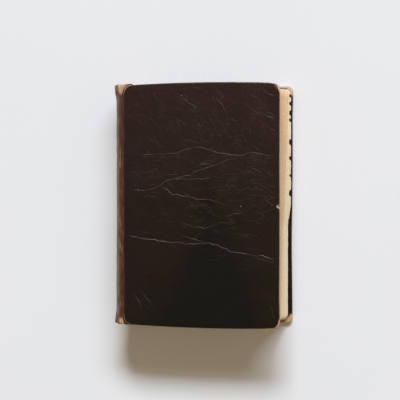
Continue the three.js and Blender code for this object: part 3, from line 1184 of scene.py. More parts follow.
@dataclass
class Cover:
    """One cover: the leather over its board, and the pastedown."""

    shape: AlbumShape
    side: Side
    roll: float = 1.3 * MM
    inner_roll: float = 0.7 * MM
    fore_corner: float = 4.6 * MM
    fore_trim: float = 0.5 * MM
    turn_in: float = 9 * MM
    leather: float = 0.55 * MM
    dip: float = 0.25 * MM
    ceiling: float = 1.0 * MM
    spine_overhang: float = 0.5 * MM
    pastedown_margin: float = 4.2 * MM
    spacing: float = 0.5 * MM
    swell: float = 1.6 * MM
    tear_place: float = -0.5 * MM
    tear_depth: float = 1.7 * MM
    tear_width: float = 1.5 * MM
    fore_part: float = 60 * MM
    waver: float = 0.3 * MM
    waver_pitch: float = 19 * MM
    head_corner_wear: float = 6.0 * MM
    tail_corner_wear: float = 4.6 * MM
    billow: float = 0.16 * MM
    dimple: float = 0.05 * MM
    sink: float = 0.1 * MM
    front_fine_creases: int = 400
    back_fine_creases: int = 90
    paper: float = 0.14 * MM
    paper_proud: float = 0.12 * MM
    paper_step: float = 0.32 * MM

    def _face(self, spacing: float) -> tuple[Grid, Grid, Grid]:
        """Grid of the outer face, inside the roll of its edges.

        Args:
            spacing: Distance between vertices.

        Returns:
            X and Y of the grid, and the outward direction at each place of its border.
        """
        shape = self.shape
        radius = shape.corner_radius - self.roll
        straight = shape.half_height - shape.corner_radius
        middle = np.linspace(-straight, straight, int(2 * straight / spacing) + 1)
        round_y = straight + radius * np.sin(quarter(11))
        y = np.concatenate([-round_y[::-1], middle, round_y])
        left_in, left_side = self._inset(y, shape.corner_radius)
        right_in, right_side = self._inset(y, self.fore_corner)
        left = shape.low.x - self.spine_overhang + self.roll + left_in
        right = shape.high.x - self.roll - right_in
        columns = int((shape.high.x - shape.low.x) / spacing)
        across = np.linspace(0, 1, columns + 1)
        x = left[:, None] + (right - left)[:, None] * across
        away = np.zeros((*x.shape, 2))
        for column, sideways, sign in ((0, left_side, -1), (-1, right_side, 1)):
            upward = np.sqrt(np.clip(1 - sideways**2, 0, 1)) * np.sign(y)
            away[:, column] = np.stack([sign * sideways, upward], -1)
        away[0, :] = (0, -1)
        away[-1, :] = (0, 1)
        return x, np.repeat(y[:, None], columns + 1, 1), away

    def _inset(self, y: Grid, corner: float) -> tuple[Grid, Grid]:
        """How far a rounded corner draws the outline in.

        Args:
            y: Places along the cover.
            corner: Radius of the corner, roll and all.

        Returns:
            The inset at each place, and how squarely the outline faces sideways there.
        """
        radius = corner - self.roll
        over = np.clip(np.abs(y) - (self.shape.half_height - corner), 0, radius)
        inset = radius - np.sqrt(radius**2 - over**2)
        return inset, 1 - inset / radius

    def _border(self, grid: Grid) -> Grid:
        """The border of a grid as one loop."""
        return np.concatenate([grid[0, :-1], grid[:-1, -1], grid[-1, :0:-1], grid[:0:-1, 0]])

    def _finished(self, points: Grid) -> Grid:
        """Bows the outline, tears the front's fore-edge, and moves points into place.

        Args:
            points: Points of the front cover's plain outline.

        Returns:
            The points where this cover is.
        """
        shape = self.shape
        x, y, z = (points[..., axis].copy() for axis in range(3))
        middle = (shape.low.x + shape.high.x) / 2
        out = np.clip(np.abs(x - middle) / (shape.high.x - middle), 0, 1)
        if self.side is Side.FRONT:
            y *= 1 + self.swell * (1 - out**2) / shape.half_height
            x -= self.fore_trim * ease((x - middle) / self.fore_part)
            near_edge = ease(1 - (shape.high.x - x) / (5 * MM))
            reach = np.abs(y - self.tear_place) / self.tear_width
            x -= self.tear_depth * np.clip(1 - reach, 0, 1) ** 0.8 * near_edge
        else:
            hollow = hump(y - 30 * MM, 45 * MM)
            x -= 1.2 * self.fore_trim * hollow * ease((x - middle) / self.fore_part)
        edge_waver = Rumple(23).at(y, x, self.waver_pitch)
        x += self.waver * edge_waver * ease((x - middle) / self.fore_part)
        moved = np.stack([x, y, z], -1)
        return moved if self.side is Side.FRONT else shape.to_back(moved)

    def _wear(self, points: Grid, rolled: float) -> Grid:
        """How worn the leather is.

        Args:
            points: The places.
            rolled: 0 on the flat face, 1 on the edges.

        Returns:
            Wear from 0, none, to 1, rubbed raw.
        """
        shape = self.shape
        x, y = points[..., 0], points[..., 1]
        spots = Rumple(21).at(x, y, 5 * MM)
        to_end = shape.half_height - np.abs(y)
        to_corner = np.hypot(shape.high.x - x, to_end)
        to_spine_corner = np.hypot(x - shape.low.x, to_end)
        spread = np.where(y > 0, self.head_corner_wear, self.tail_corner_wear)
        at_end = ease((np.abs(y) - 0.9 * shape.half_height) / (6 * MM))
        wear = 0.04 + rolled * (0.2 + 0.16 * spots)
        wear = wear + 0.85 * hump(to_corner, spread, 4) * (0.75 + 0.25 * rolled)
        wear = wear + rolled * 0.6 * hump(to_corner, 9 * MM)
        wear = wear + rolled * 0.75 * hump(to_spine_corner, 7 * MM)
        wear = wear + rolled * 0.3 * hump(x - shape.low.x, 1.2 * MM)
        wear = wear + rolled * at_end * (0.2 + 0.35 * ease(x / self.fore_part))
        if self.side is Side.FRONT:
            to_tear = np.hypot(shape.high.x - x, (y - self.tear_place) * 0.9)
            wear = wear + 0.95 * hump(to_tear, 1.9 * MM)
        return np.clip(wear, 0, 1)

    def _rings(self, face: Grid, away: Grid) -> list[tuple[Grid, float]]:
        """Loops from the face's border round the edge, under it, and back up inside.

        Args:
            face: The grid of the outer face.
            away: Outward directions on its border.

        Returns:
            Each loop's points with how far it is rolled: 0 flat, 1 on the edge.
        """
        start, out = self._border(face), self._border(away)
        top = self.shape.high.z - self.dip
        bottom = self.shape.low.z
        rows: list[Triple] = []
        for turn in quarter(6):
            sine, cosine = math.sin(turn), math.cos(turn)
            rows.append((self.roll * sine, top - self.roll * (1 - cosine), sine))
        for turn in np.linspace(0, math.pi / 2, 5):
            sine, cosine = math.sin(turn), math.cos(turn)
            tucked = self.roll - self.inner_roll * (1 - cosine)
            rows.append((tucked, bottom + self.inner_roll * (1 - sine), 1.0))
        under, lining = bottom + 0.8 * self.leather, self.roll - self.leather - self.leather
        rows += [(self.roll - inward, bottom, 0.5) for inward in (2 * MM, 5 * MM, self.turn_in)]
        rows.append((self.roll - self.turn_in, under, 0.4))
        rows.append((lining, under, 0.0))
        rows.append((lining, self.shape.high.z - self.ceiling, 0.0))
        rings = []
        for offset, height, rolled in rows:
            ring = start.copy()
            ring[:, :2] += out * offset
            low, high = start[:, :2].min(0) - offset, start[:, :2].max(0) + offset
            ring[:, :2] = np.clip(ring[:, :2], low, high)
            ring[:, 2] = height
            rings.append((ring, rolled))
        return rings

    def leather_piece(self) -> Piece:
        """Builds the leather: a creased face, rolled edges and turned-in rims.

        Returns:
            The piece, closed all round.
        """
        shape = self.shape
        front = self.side is Side.FRONT
        x, y, away = self._face(self.spacing if front else 2 * self.spacing)
        width, height = shape.high.x - shape.low.x, 2 * shape.half_height
        u, v = (x - shape.low.x) / width, (y + shape.half_height) / height
        seed = 5 if front else 6
        creases = fine_creases(self.front_fine_creases if front else self.back_fine_creases, seed)
        if front:
            creases += MAIN_CREASES
        lift, shown, beside = relief_of(creases, u, v, (width, height))
        rim = np.minimum.reduce([u * width, (1 - u) * width, v * height, (1 - v) * height])
        settle = ease((rim - self.roll) / (4 * MM))
        billow = self.billow * Rumple(seed + 30).at(x, y, 26 * MM)
        billow += self.dimple * Rumple(seed + 31).at(x, y, 5 * MM)
        z = shape.high.z - self.dip * (1 - settle) + (lift + billow - self.sink) * settle
        face = np.stack([x, y, z], -1)
        plan = MeshPlan()
        painted = {"crease": shown * settle, "beside_crease": beside}
        index = plan.add(self._finished(face), wear=self._wear(face, 0), **painted)
        plan.faces += grid_faces(index)
        loop = self._border(index)
        for ring, rolled in self._rings(face, away):
            painted = {"crease": 0.0, "beside_crease": BESIDE_LIMIT}
            added = plan.add(self._finished(ring), wear=self._wear(ring, rolled), **painted)
            joined = np.stack([loop, added])
            plan.faces += grid_faces(np.concatenate([joined, joined[:, :1]], 1))
            loop = added
        plan.faces.append(tuple(map(int, loop)))
        return plan.build(f"{self.side.value}_leather")

    def pastedown_piece(self) -> Piece:
        """Builds the pastedown, which runs on through the inner joint to the leaves.

        Returns:
            The piece.
        """
        shape = self.shape
        y = np.linspace(-1, 1, 80) * (shape.half_height - self.pastedown_margin)
        start = shape.hinge_x + 1.6 * MM
        near = np.linspace(start, shape.low.x + 3 * MM, 14)
        far = np.linspace(near[-1], shape.high.x - self.pastedown_margin, 60)[1:]
        x, y = np.meshgrid(np.concatenate([near, far]), y)
        ragged = 0.35 * MM * Rumple(41).at(y, x, 9 * MM)
        x = x + ragged * ease((x - far[0]) / (far[-1] - far[0]))
        over_edge = np.minimum(shape.high.x - x, shape.half_height - np.abs(y))
        sunk = ease((over_edge - self.turn_in + 1 * MM) / (2 * MM))
        on_board = ease((x - shape.low.x) / (2 * MM))
        pasted = shape.low.z - self.paper_proud + self.paper_step * sunk * on_board
        toning = np.exp(-over_edge / (9 * MM)) + 0.5 * (1 - ease((x - start) / (8 * MM)))
        plan = MeshPlan()
        top = np.stack([x, y, pasted + self.paper], -1)
        bottom = np.stack([x, y, pasted], -1)
        if self.side is Side.BACK:
            top, bottom = shape.to_back(top), shape.to_back(bottom)
        plan.add_slab(top, bottom, toning=toning)
        piece = plan.build(f"{self.side.value}_pastedown_sheet")
        sharpen(piece, 50)
        return piece


@dataclass
class SpineSkin:
    """The leather of the spine and of both joints: one surface, cut into three pieces."""

    shape: AlbumShape
    end_roll: float = 1.1 * MM
    lip: float = 4.0 * MM
    thickness: float = 0.7 * MM
    joint_columns: int = 34
    spine_columns: int = 110
    cockle: float = 0.12 * MM
    raggedness: float = 0.5 * MM
    tuft: float = 1.3 * MM
    from_edge: tuple[tuple[float, float], ...] = (
        (0.8, -1.5), (-0.3, -1.5), (-1.2, -1.9), (-2.0, -2.6), (-2.9, -3.2),
    )
    from_hinge: tuple[tuple[float, float], ...] = ((0.0, -3.5), (-0.9, -3.25), (-1.8, -3.8))

    def _profile(self) -> Grid:
        """Cross-section from the front cover's edge, round the spine, to the back cover's.

        Returns:
            X and Z of its points, closest together in the joints.
        """
        shape = self.shape
        top = shape.high.z
        starts = ((shape.low.x, self.from_edge), (shape.hinge_x, self.from_hinge))
        front = np.array(
            [(start + x * MM, top + z * MM) for start, places in starts for x, z in places]
        )
        back = np.stack([front[:, 0] + shape.lean, shape.thickness - front[:, 1]], -1)[::-1]
        high = top - 5.4 * MM
        z = np.linspace(high, shape.thickness - high, 40)
        spine = np.stack([shape.spine_x(z), z], -1)
        coarse = np.concatenate([front, spine, back])
        for _ in range(2):
            middle = (coarse[1:] + coarse[:-1]) / 2
            woven = np.empty((2 * len(coarse) - 1, 2))
            woven[0::2], woven[1::2] = coarse, middle
            woven[1:-1] = 0.5 * woven[1:-1] + 0.25 * (woven[2:] + woven[:-2])
            coarse = woven
        run = run_along(coarse)
        joint = run[np.argmax(coarse[:, 1] < top - 4.6 * MM)]
        even = np.concatenate([
            np.linspace(0, joint, self.joint_columns)[:-1],
            np.linspace(joint, run[-1] - joint, self.spine_columns)[:-1],
            np.linspace(run[-1] - joint, run[-1], self.joint_columns),
        ])
        return np.stack([np.interp(even, run, coarse[:, axis]) for axis in (0, 1)], -1)

    def _rows(self) -> tuple[Grid, Grid]:
        """The path along Y: in over the tail cap, along the spine, and in over the head cap.

        Returns:
            The places along Y, and how far in from the outer face each lies.
        """
        half, roll = self.shape.half_height, self.end_roll
        turn = quarter(5)
        cap_y, cap_in = half - roll + roll * np.sin(turn), roll * (1 - np.cos(turn))
        lip_in = roll + np.linspace(0, self.lip, 5)[1:]
        end_y = np.concatenate([cap_y, half - np.linspace(0.1, 0.4, 4) * MM])
        end_in = np.concatenate([cap_in, lip_in])
        middle = np.linspace(roll - half, half - roll, 230)
        y = np.concatenate([-end_y[::-1], middle, end_y])
        return y, np.concatenate([end_in[::-1], np.zeros_like(middle), end_in])

    def surface(self) -> tuple[Grid, Grid, dict[str, Grid]]:
        """The whole skin.

        Returns:
            Its points by row along Y and column round the profile, the same places on the
            flat skin, and the numbers painted on it.
        """
        shape = self.shape
        profile = self._profile()
        y, inward = self._rows()
        along = np.gradient(profile, axis=0)
        along /= np.hypot(*along.T)[:, None]
        outward = np.stack([along[:, 1], -along[:, 0]], -1)
        run = run_along(profile)
        near_end = ease((np.abs(y) - 0.87 * shape.half_height) / (0.12 * shape.half_height))
        near_end = near_end[:, None]
        share = np.clip(shape.spine_share(profile[:, 1]), 0, 1)
        on_spine = 1 - share**2
        y_grid, run_grid = np.meshgrid(y, run, indexing="ij")
        flare = shape.cap_flare * near_end * on_spine
        hollow = 0.3 * MM * Rumple(61).at(y_grid, run_grid * 0, 38 * MM) * on_spine
        cockle = self.cockle * Rumple(62).at(y_grid, run_grid, 7 * MM)
        frayed = near_end**2 * (0.2 + 0.8 * on_spine)
        teeth = Rumple(63).at(run_grid, np.sign(y_grid) * 3 * MM, 3.2 * MM)
        tufts = np.clip(Rumple(64).at(run_grid, y_grid * 0, 1.5 * MM) + 0.45, 0, 1)
        ragged = self.raggedness * teeth * frayed
        ragged = ragged + self.tuft * tufts * np.where(y_grid > 0, 1.0, 0.4) * near_end**6
        offset = flare + hollow + cockle + 0.3 * ragged - inward[:, None]
        points = np.empty((*y_grid.shape, 3))
        points[..., 0] = profile[:, 0] + outward[:, 0] * offset
        points[..., 1] = y_grid + np.sign(y_grid) * ragged
        points[..., 2] = profile[:, 1] + outward[:, 1] * offset
        self._reach_corners(points)
        flat = np.stack([run_grid, y_grid], -1)
        return points, flat, self._painted(y_grid, run_grid, profile)

    def _reach_corners(self, points: Grid) -> None:
        """Widens the joints at head and tail, to follow the covers' rounded spine corners.

        Args:
            points: The skin's points, which are moved.
        """
        shape = self.shape
        radius = shape.corner_radius
        into = np.clip((np.abs(points[..., 1]) - shape.half_height + radius) / radius, 0, 0.985)
        draw_in = radius * (1 - np.sqrt(1 - into**2))
        place = np.arange(points.shape[1])
        for from_edge in (place, place[::-1]):
            points[..., 0] += draw_in * ease(1 - from_edge / (0.6 * self.joint_columns))

    def _painted(self, y: Grid, run: Grid, profile: Grid) -> dict[str, Grid]:
        """Fading, wear, ridges and cracks of the skin.

        Args:
            y: Places along the spine.
            run: Places round the profile.
            profile: X and Z of the profile.

        Returns:
            The named numbers.
        """
        shape = self.shape
        half = shape.half_height
        blotches = Rumple(71).at(y, run, 9 * MM)
        streaks = Rumple(72).at(y * 0.12, run, 0.7 * MM)
        end = ease((np.abs(y) - 0.9 * half) / (0.07 * half))
        cap = end * np.where(y > 0, 1.0, 0.7)
        down = shape.high.z - profile[:, 1]
        from_cover = np.minimum(down, shape.high.z - down)
        share = np.clip(shape.spine_share(profile[:, 1]), 0, 1)
        fade = 0.35 + 0.55 * (1 - share**3)
        in_joint = hump(from_cover - 3.4 * MM, 0.9 * MM)
        on_edge = hump(from_cover - 1.6 * MM, 0.7 * MM)
        valley = self._near_hinge(profile, 0.28 * MM)
        wear = 0.26 + 0.34 * in_joint + 0.1 * blotches + 0.16 * streaks + 0.62 * cap
        wear = wear - 0.3 * on_edge
        return {
            "wear": np.clip(wear, 0, 1),
            "fade": np.clip(fade + 0.1 * blotches, 0, 1),
            "ridge": np.clip(on_edge * (0.75 + 0.4 * blotches), 0, 1),
            "crack": np.clip(valley * (1.1 + 0.5 * blotches) * (1 - 0.6 * cap), 0, 1),
        }

    def _near_hinge(self, profile: Grid, width: float) -> Grid:
        """1 in the bottom of either joint, falling to 0 beside it.

        Args:
            profile: X and Z of the profile.
            width: How wide the bottom is.

        Returns:
            The number for each column.
        """
        shape = self.shape
        x, z = profile[:, 0], profile[:, 1]
        front = hump(x - shape.hinge_x, width) * (z > shape.thickness / 2)
        back = hump(x - (shape.hinge_x + shape.lean), width) * (z < shape.thickness / 2)
        return front + back

    def piece(
        self,
        name: str,
        columns: slice,
        skin: tuple[Grid, Grid, dict[str, Grid]],
    ) -> Piece:
        """Cuts one piece out of the skin.

        Args:
            name: The piece's name.
            columns: Its columns round the profile.
            skin: The whole skin.

        Returns:
            The piece.
        """
        points, flat, painted = skin
        plan = MeshPlan()
        cut = {label: numbers[:, columns] for label, numbers in painted.items()}
        index = plan.add(points[:, columns], **cut)
        plan.faces += grid_faces(index)
        made = plan.build(name, flat[:, columns].reshape(-1, 2))
        thicken(made, self.thickness)
        return made


@dataclass(frozen=True)
class Chip:
    """A pointed notch torn out of leaves' fore-edge: place along Y, depth, half width."""

    place: float
    depth: float
    width: float


# Place, depth and half width of each chip in millimetres, from head to tail.
CHIP_TABLE = (
    (95.5, 2.2, 1.8), (88.8, 2.4, 2.0), (80.6, 3.2, 2.4), (74.2, 2.4, 2.0), (54.8, 2.9, 3.0),
    (40.6, 2.8, 2.2), (25.2, 1.6, 1.6), (9.6, 3.0, 3.2), (-15.8, 2.4, 2.6), (-28.2, 3.8, 3.6),
    (-45.6, 2.8, 2.8), (-53.4, 3.0, 2.0), (-87.0, 3.0, 1.8),
)
LOWER_CHIPS = tuple(Chip(*(number * MM for number in row)) for row in CHIP_TABLE)


@dataclass(frozen=True)
class Cut:
    """How sheets are cut and torn at the fore-edge.

    The edges waver by so much, chips are broken out of the fore-edge, the sheets reach out
    past the block's fore-edge at the head, and they recede from it at the tail.
    """

    waver: float = 0.12 * MM
    chips: Sequence[Chip] = ()
    reach: float = 0.0
    recede: float = 0.0


@dataclass
class LeafMaker:
    """Makes sheets of paper between the fold and the fore-edge."""

    shape: AlbumShape
    rows: int = 120
    groove: float = 0.6 * MM
    unevenness: float = 0.16 * MM
    sag: float = 0.05 * MM
    filled: float = 0.78
    toned_rim: float = 5 * MM
    flyleaf_height: float = 41 * MM

    def outline(
        self,
        left: float,
        right: float,
        columns: Grid,
        seed: int,
        cut: Cut,
    ) -> tuple[Grid, Grid]:
        """Plan of a sheet with rounded fore-edge corners and a slightly wavering edge.

        Args:
            left: Its spine side.
            right: Its fore-edge at the head.
            columns: Shares from left to right at which it has vertices.
            seed: Seed of the wavering.
            cut: How it is cut.

        Returns:
            X and Y by row and column.
        """
        shape = self.shape
        half, radius = shape.leaf_top, shape.leaf_corner_radius
        rows = 4 * self.rows if cut.chips else self.rows
        straight = np.linspace(radius - half, half - radius, rows)
        round_y = half - radius + radius * np.sin(quarter(6))
        y = np.concatenate([-round_y[::-1], straight, round_y])
        into = np.clip((np.abs(y) - half + radius) / radius, 0, 1)
        draw_in = radius * (1 - np.sqrt(1 - into**2))
        uneven = Rumple(seed)
        edge = right - draw_in + cut.waver * uneven.at(y, y * 0, 5 * MM)
        edge = edge + cut.waver * 0.6 * uneven.at(y, y * 0 + 1, 1.7 * MM)
        edge = edge - cut.recede * ease((4 * MM - y) / (26 * MM))
        for chip in cut.chips:
            reach = np.clip(1 - np.abs(y - chip.place) / chip.width, 0, 1)
            edge = edge - chip.depth * reach**1.3
        x = left + (edge - left)[:, None] * columns
        end_waver = cut.waver * uneven.at(x, x * 0 + 3, 7 * MM)
        ends = np.where(np.abs(y) > half - 0.1 * MM, np.sign(y), 0)[:, None]
        return x, y[:, None] + ends * end_waver

    def toning(self, x: Grid, y: Grid, height: Grid) -> Grid:
        """How much of the peach tone the paper gets: most at its edges and in the leaves towards the top.

        Args:
            x: Across the sheet, by row and column.
            y: Along the sheet.
            height: Height in the block.

        Returns:
            The toning, from 0 to about 1.
        """
        right = x[:, -1:]
        rim = np.minimum(right - x, self.shape.leaf_top - np.abs(y))
        parting = (6 + 15 * np.clip((95 * MM - y) / (190 * MM), 0, 1)) * MM
        # Leaves above a parting height, which rises towards the tail, get more of the tone, and the topmost leaves
        # get less.
        height_tone = 0.15 + 0.95 * ease((height - parting) / (4 * MM) + 0.5)
        height_tone = height_tone * (1 - 0.45 * ease((height - self.flyleaf_height) / (2 * MM)))
        return np.exp(-np.clip(rim, 0, None) / self.toned_rim) * height_tone

    def sheet(
        self,
        plan: MeshPlan,
        outline: tuple[Grid, Grid],
        bottom: Grid | float,
        thickness: float,
        leaf: float,
    ) -> None:
        """Adds one sheet to a plan.

        Args:
            plan: The plan.
            outline: X and Y by row and column.
            bottom: Height of its underside.
            thickness: Its thickness.
            leaf: A number from 0 to 1 that sets this sheet's tone.
        """
        x, y = outline
        low = np.broadcast_to(bottom, x.shape)
        painted = {"toning": self.toning(x, y, low), "leaf": np.full(x.shape, leaf)}
        top = np.stack([x, y, low + thickness], -1)
        plan.add_slab(top, np.stack([x, y, low], -1), **painted)

    def stack(
        self,
        name: str,
        heights: tuple[float, float],
        count: int,
        seed: int,
        cut: Cut,
    ) -> Piece:
        """Builds a stack of sheets.

        Args:
            name: The piece's name.
            heights: Bottom and top of the stack.
            count: How many sheets.
            seed: Seed of all that varies.
            cut: How they are cut.

        Returns:
            The piece.
        """
        shape, plan = self.shape, MeshPlan()
        draw = np.random.default_rng(seed)
        bottom, top = heights
        pitch = (top - bottom) / count
        columns = np.array([0, 0.5, 0.93, 0.985, 1.0])
        inside = max(shape.spine_x(bottom), shape.spine_x(top)) + 4.0 * MM
        tone = draw.random()
        for number in range(count):
            low = bottom + number * pitch
            from_middle = abs(2 * (number + 0.5) / count - 1)
            right = shape.fore_edge_x(low) + cut.reach + draw.normal(0, self.unevenness)
            right -= self.groove * from_middle**4
            outline = self.outline(inside, right, columns, seed * 31 + number, cut)
            droop = Rumple(seed * 17 + number).at(outline[1], outline[0], 24 * MM)
            sag = self.sag * droop * columns**6
            leaf = 0.65 * tone + 0.35 * draw.random()
            self.sheet(plan, outline, low + sag, pitch * self.filled, leaf)
        piece = plan.build(name)
        sharpen(piece, 40)
        return piece


@dataclass
class TextBlock:
    """The leaves that stay with the spine: the sections and the lower leaves."""

    maker: LeafMaker
    leaves_to_a_section: int = 10
    section_count: int = 12
    section_cut: Cut = Cut(recede=1.0 * MM)
    section_margin: float = 0.12 * MM
    lower_margin: float = 0.1 * MM
    lower_waver: float = 0.2 * MM
    lower_recede: float = 2.7 * MM

    def section_pieces(self) -> dict[str, Piece]:
        """Builds the sewn sections.

        Returns:
            Each section's piece, by the name of its node.
        """
        made = {}
        for number in range(1, self.section_count + 1):
            node = f"section_{number:02d}"
            low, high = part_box(node)
            heights = (low.z - self.section_margin, high.z + self.section_margin)
            name, count = f"{node}_leaves", self.leaves_to_a_section
            made[node] = self.maker.stack(name, heights, count, 100 + number, self.section_cut)
        return made

    def lower_pieces(self) -> dict[str, Piece]:
        """Builds the loose lower leaves, whose fore-edges are chipped.

        Returns:
            Each leaf's piece, by the name of its node.
        """
        made = {}
        for order, node in enumerate(("lower_leaf_2", "lower_leaf_1", "back_free_endpaper")):
            low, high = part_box(node)
            chips = [
                Chip(c.place + 0.25 * MM * order, c.depth * (1.2 - 0.08 * order), 1.1 * c.width)
                for c in LOWER_CHIPS
            ]
            heights = (low.z - self.lower_margin, high.z + self.lower_margin)
            cut = Cut(self.lower_waver, chips, (0.35 * order - 0.4) * MM, self.lower_recede)
            made[node] = self.maker.stack(f"{node}_chipped", heights, 2, 300 + order, cut)
        return made


@dataclass
class TurningLeaf:
    """A leaf that turns, on its linen guard."""

    maker: LeafMaker
    node: str
    guard_node: str
    seed: int
    bend_start: float = 2.5 * MM
    bend: float = 8 * MM
    paper: float = 0.22 * MM
    linen: float = 0.12 * MM

    def leaf_piece(self) -> Piece:
        """Builds the leaf, from where it is pasted to its guard to the fore-edge.

        Returns:
            The piece.
        """
        low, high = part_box(self.node)
        guard_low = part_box(self.guard_node)[0]
        left, right = guard_low.x + 1.5 * MM, high.x
        reach = right - left
        near = np.linspace(0, 9 * MM / reach, 14)
        columns = np.concatenate([near, np.linspace(near[-1], 1, 40)[1:]])
        outline = self.maker.outline(left, right, columns, self.seed, Cut(0.15 * MM))
        cockle = 0.1 * MM * Rumple(self.seed + 1).at(*outline, 31 * MM)
        bottom = low.z + 0.16 * MM + cockle * ease(columns * 3)
        plan = MeshPlan()
        self.maker.sheet(plan, outline, bottom, self.paper, self.seed * 0.37 % 1)
        piece = plan.build(self.node + "_sheet")
        sharpen(piece, 50)
        return piece

    def guard_piece(self) -> Piece:
        """Builds the linen guard under the leaf's spine side.

        Returns:
            The piece.
        """
        low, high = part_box(self.guard_node)
        along = np.linspace(low.y, high.y, 60) * 0.995
        x, y = np.meshgrid(np.linspace(low.x, high.x, 16), along)
        plan = MeshPlan()
        bottom = np.stack([x, y, np.full_like(x, low.z + 0.02 * MM)], -1)
        plan.add_slab(bottom + (0, 0, self.linen), bottom)
        piece = plan.build(self.guard_node + "_linen")
        sharpen(piece, 50)
        return piece


@dataclass
class Band:
    """The wound band at one end of the spine."""

    shape: AlbumShape
    end: End
    turns: int = 46
    steps_to_a_turn: int = 6
    around: int = 12

    def piece(self) -> Piece:
        """Builds the band: a cord ribbed by the silk wound round it.

        Returns:
            The piece.
        """
        low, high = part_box(self.end.value)
        radius = (high.y - low.y) / 2
        middle = (high.y + low.y) / 2
        rings, around = self.turns * self.steps_to_a_turn + 1, self.around
        t = np.linspace(0, 1, rings)
        z = low.z + (high.z - low.z) * t
        depth = high.x - radius - float(self.shape.spine_x(high.z))
        x = self.shape.spine_x(z) + depth
        turn = t * self.turns
        rib = 0.9 + 0.12 * np.abs(np.sin(turn * math.pi))
        angle = np.linspace(0, 2 * math.pi, around + 1)[:-1]
        points = np.empty((rings, around, 3))
        points[..., 0] = x[:, None] + radius * rib[:, None] * np.cos(angle)
        points[..., 1] = middle + radius * rib[:, None] * np.sin(angle)
        points[..., 2] = z[:, None]
        plan = MeshPlan()
        index = plan.add(points, turn=np.repeat(turn[:, None], around, 1))
        plan.faces += grid_faces(np.concatenate([index, index[:, :1]], 1))
        plan.faces += [tuple(map(int, index[0, ::-1])), tuple(map(int, index[-1]))]
        return plan.build(f"{self.end.value}_silk")


# ---------------------------------------------------------------------------
# The scene
# ---------------------------------------------------------------------------


def build_finishes() -> dict[Slot, Material]:
    """Builds the finish of every slot.

    Returns:
        The materials by their slots.
    """
    linen = display_colour(206, 192, 160), display_colour(140, 122, 92)
    gauze = display_colour(196, 180, 144), display_colour(112, 84, 52)
    board = display_colour(140, 124, 100), display_colour(104, 86, 66)
    kraft = display_colour(158, 122, 80), display_colour(122, 88, 54)
    finishes = {
        Slot.COVER_LEATHER: CoverLeatherFinish(),
        Slot.WORN_LEATHER: SpineLeatherFinish(),
        Slot.LEAF_PAPER: PaperFinish("old_paper"),
        Slot.ENDPAPER: EndpaperFinish("endpaper_plain"),
        Slot.LINEN: WovenFinish("linen_tape", *linen),
        Slot.GAUZE: WovenFinish("glued_gauze", *gauze, thread_size=0.9 * MM, openness=0.5),
        Slot.MILLBOARD: BoardFinish("millboard_pulp", *board),
        Slot.KRAFT_PAPER: BoardFinish("kraft_lining", *kraft),
        Slot.SILK: BandFinish("wound_silk"),
    }
    return {slot: finish.material() for slot, finish in finishes.items()}


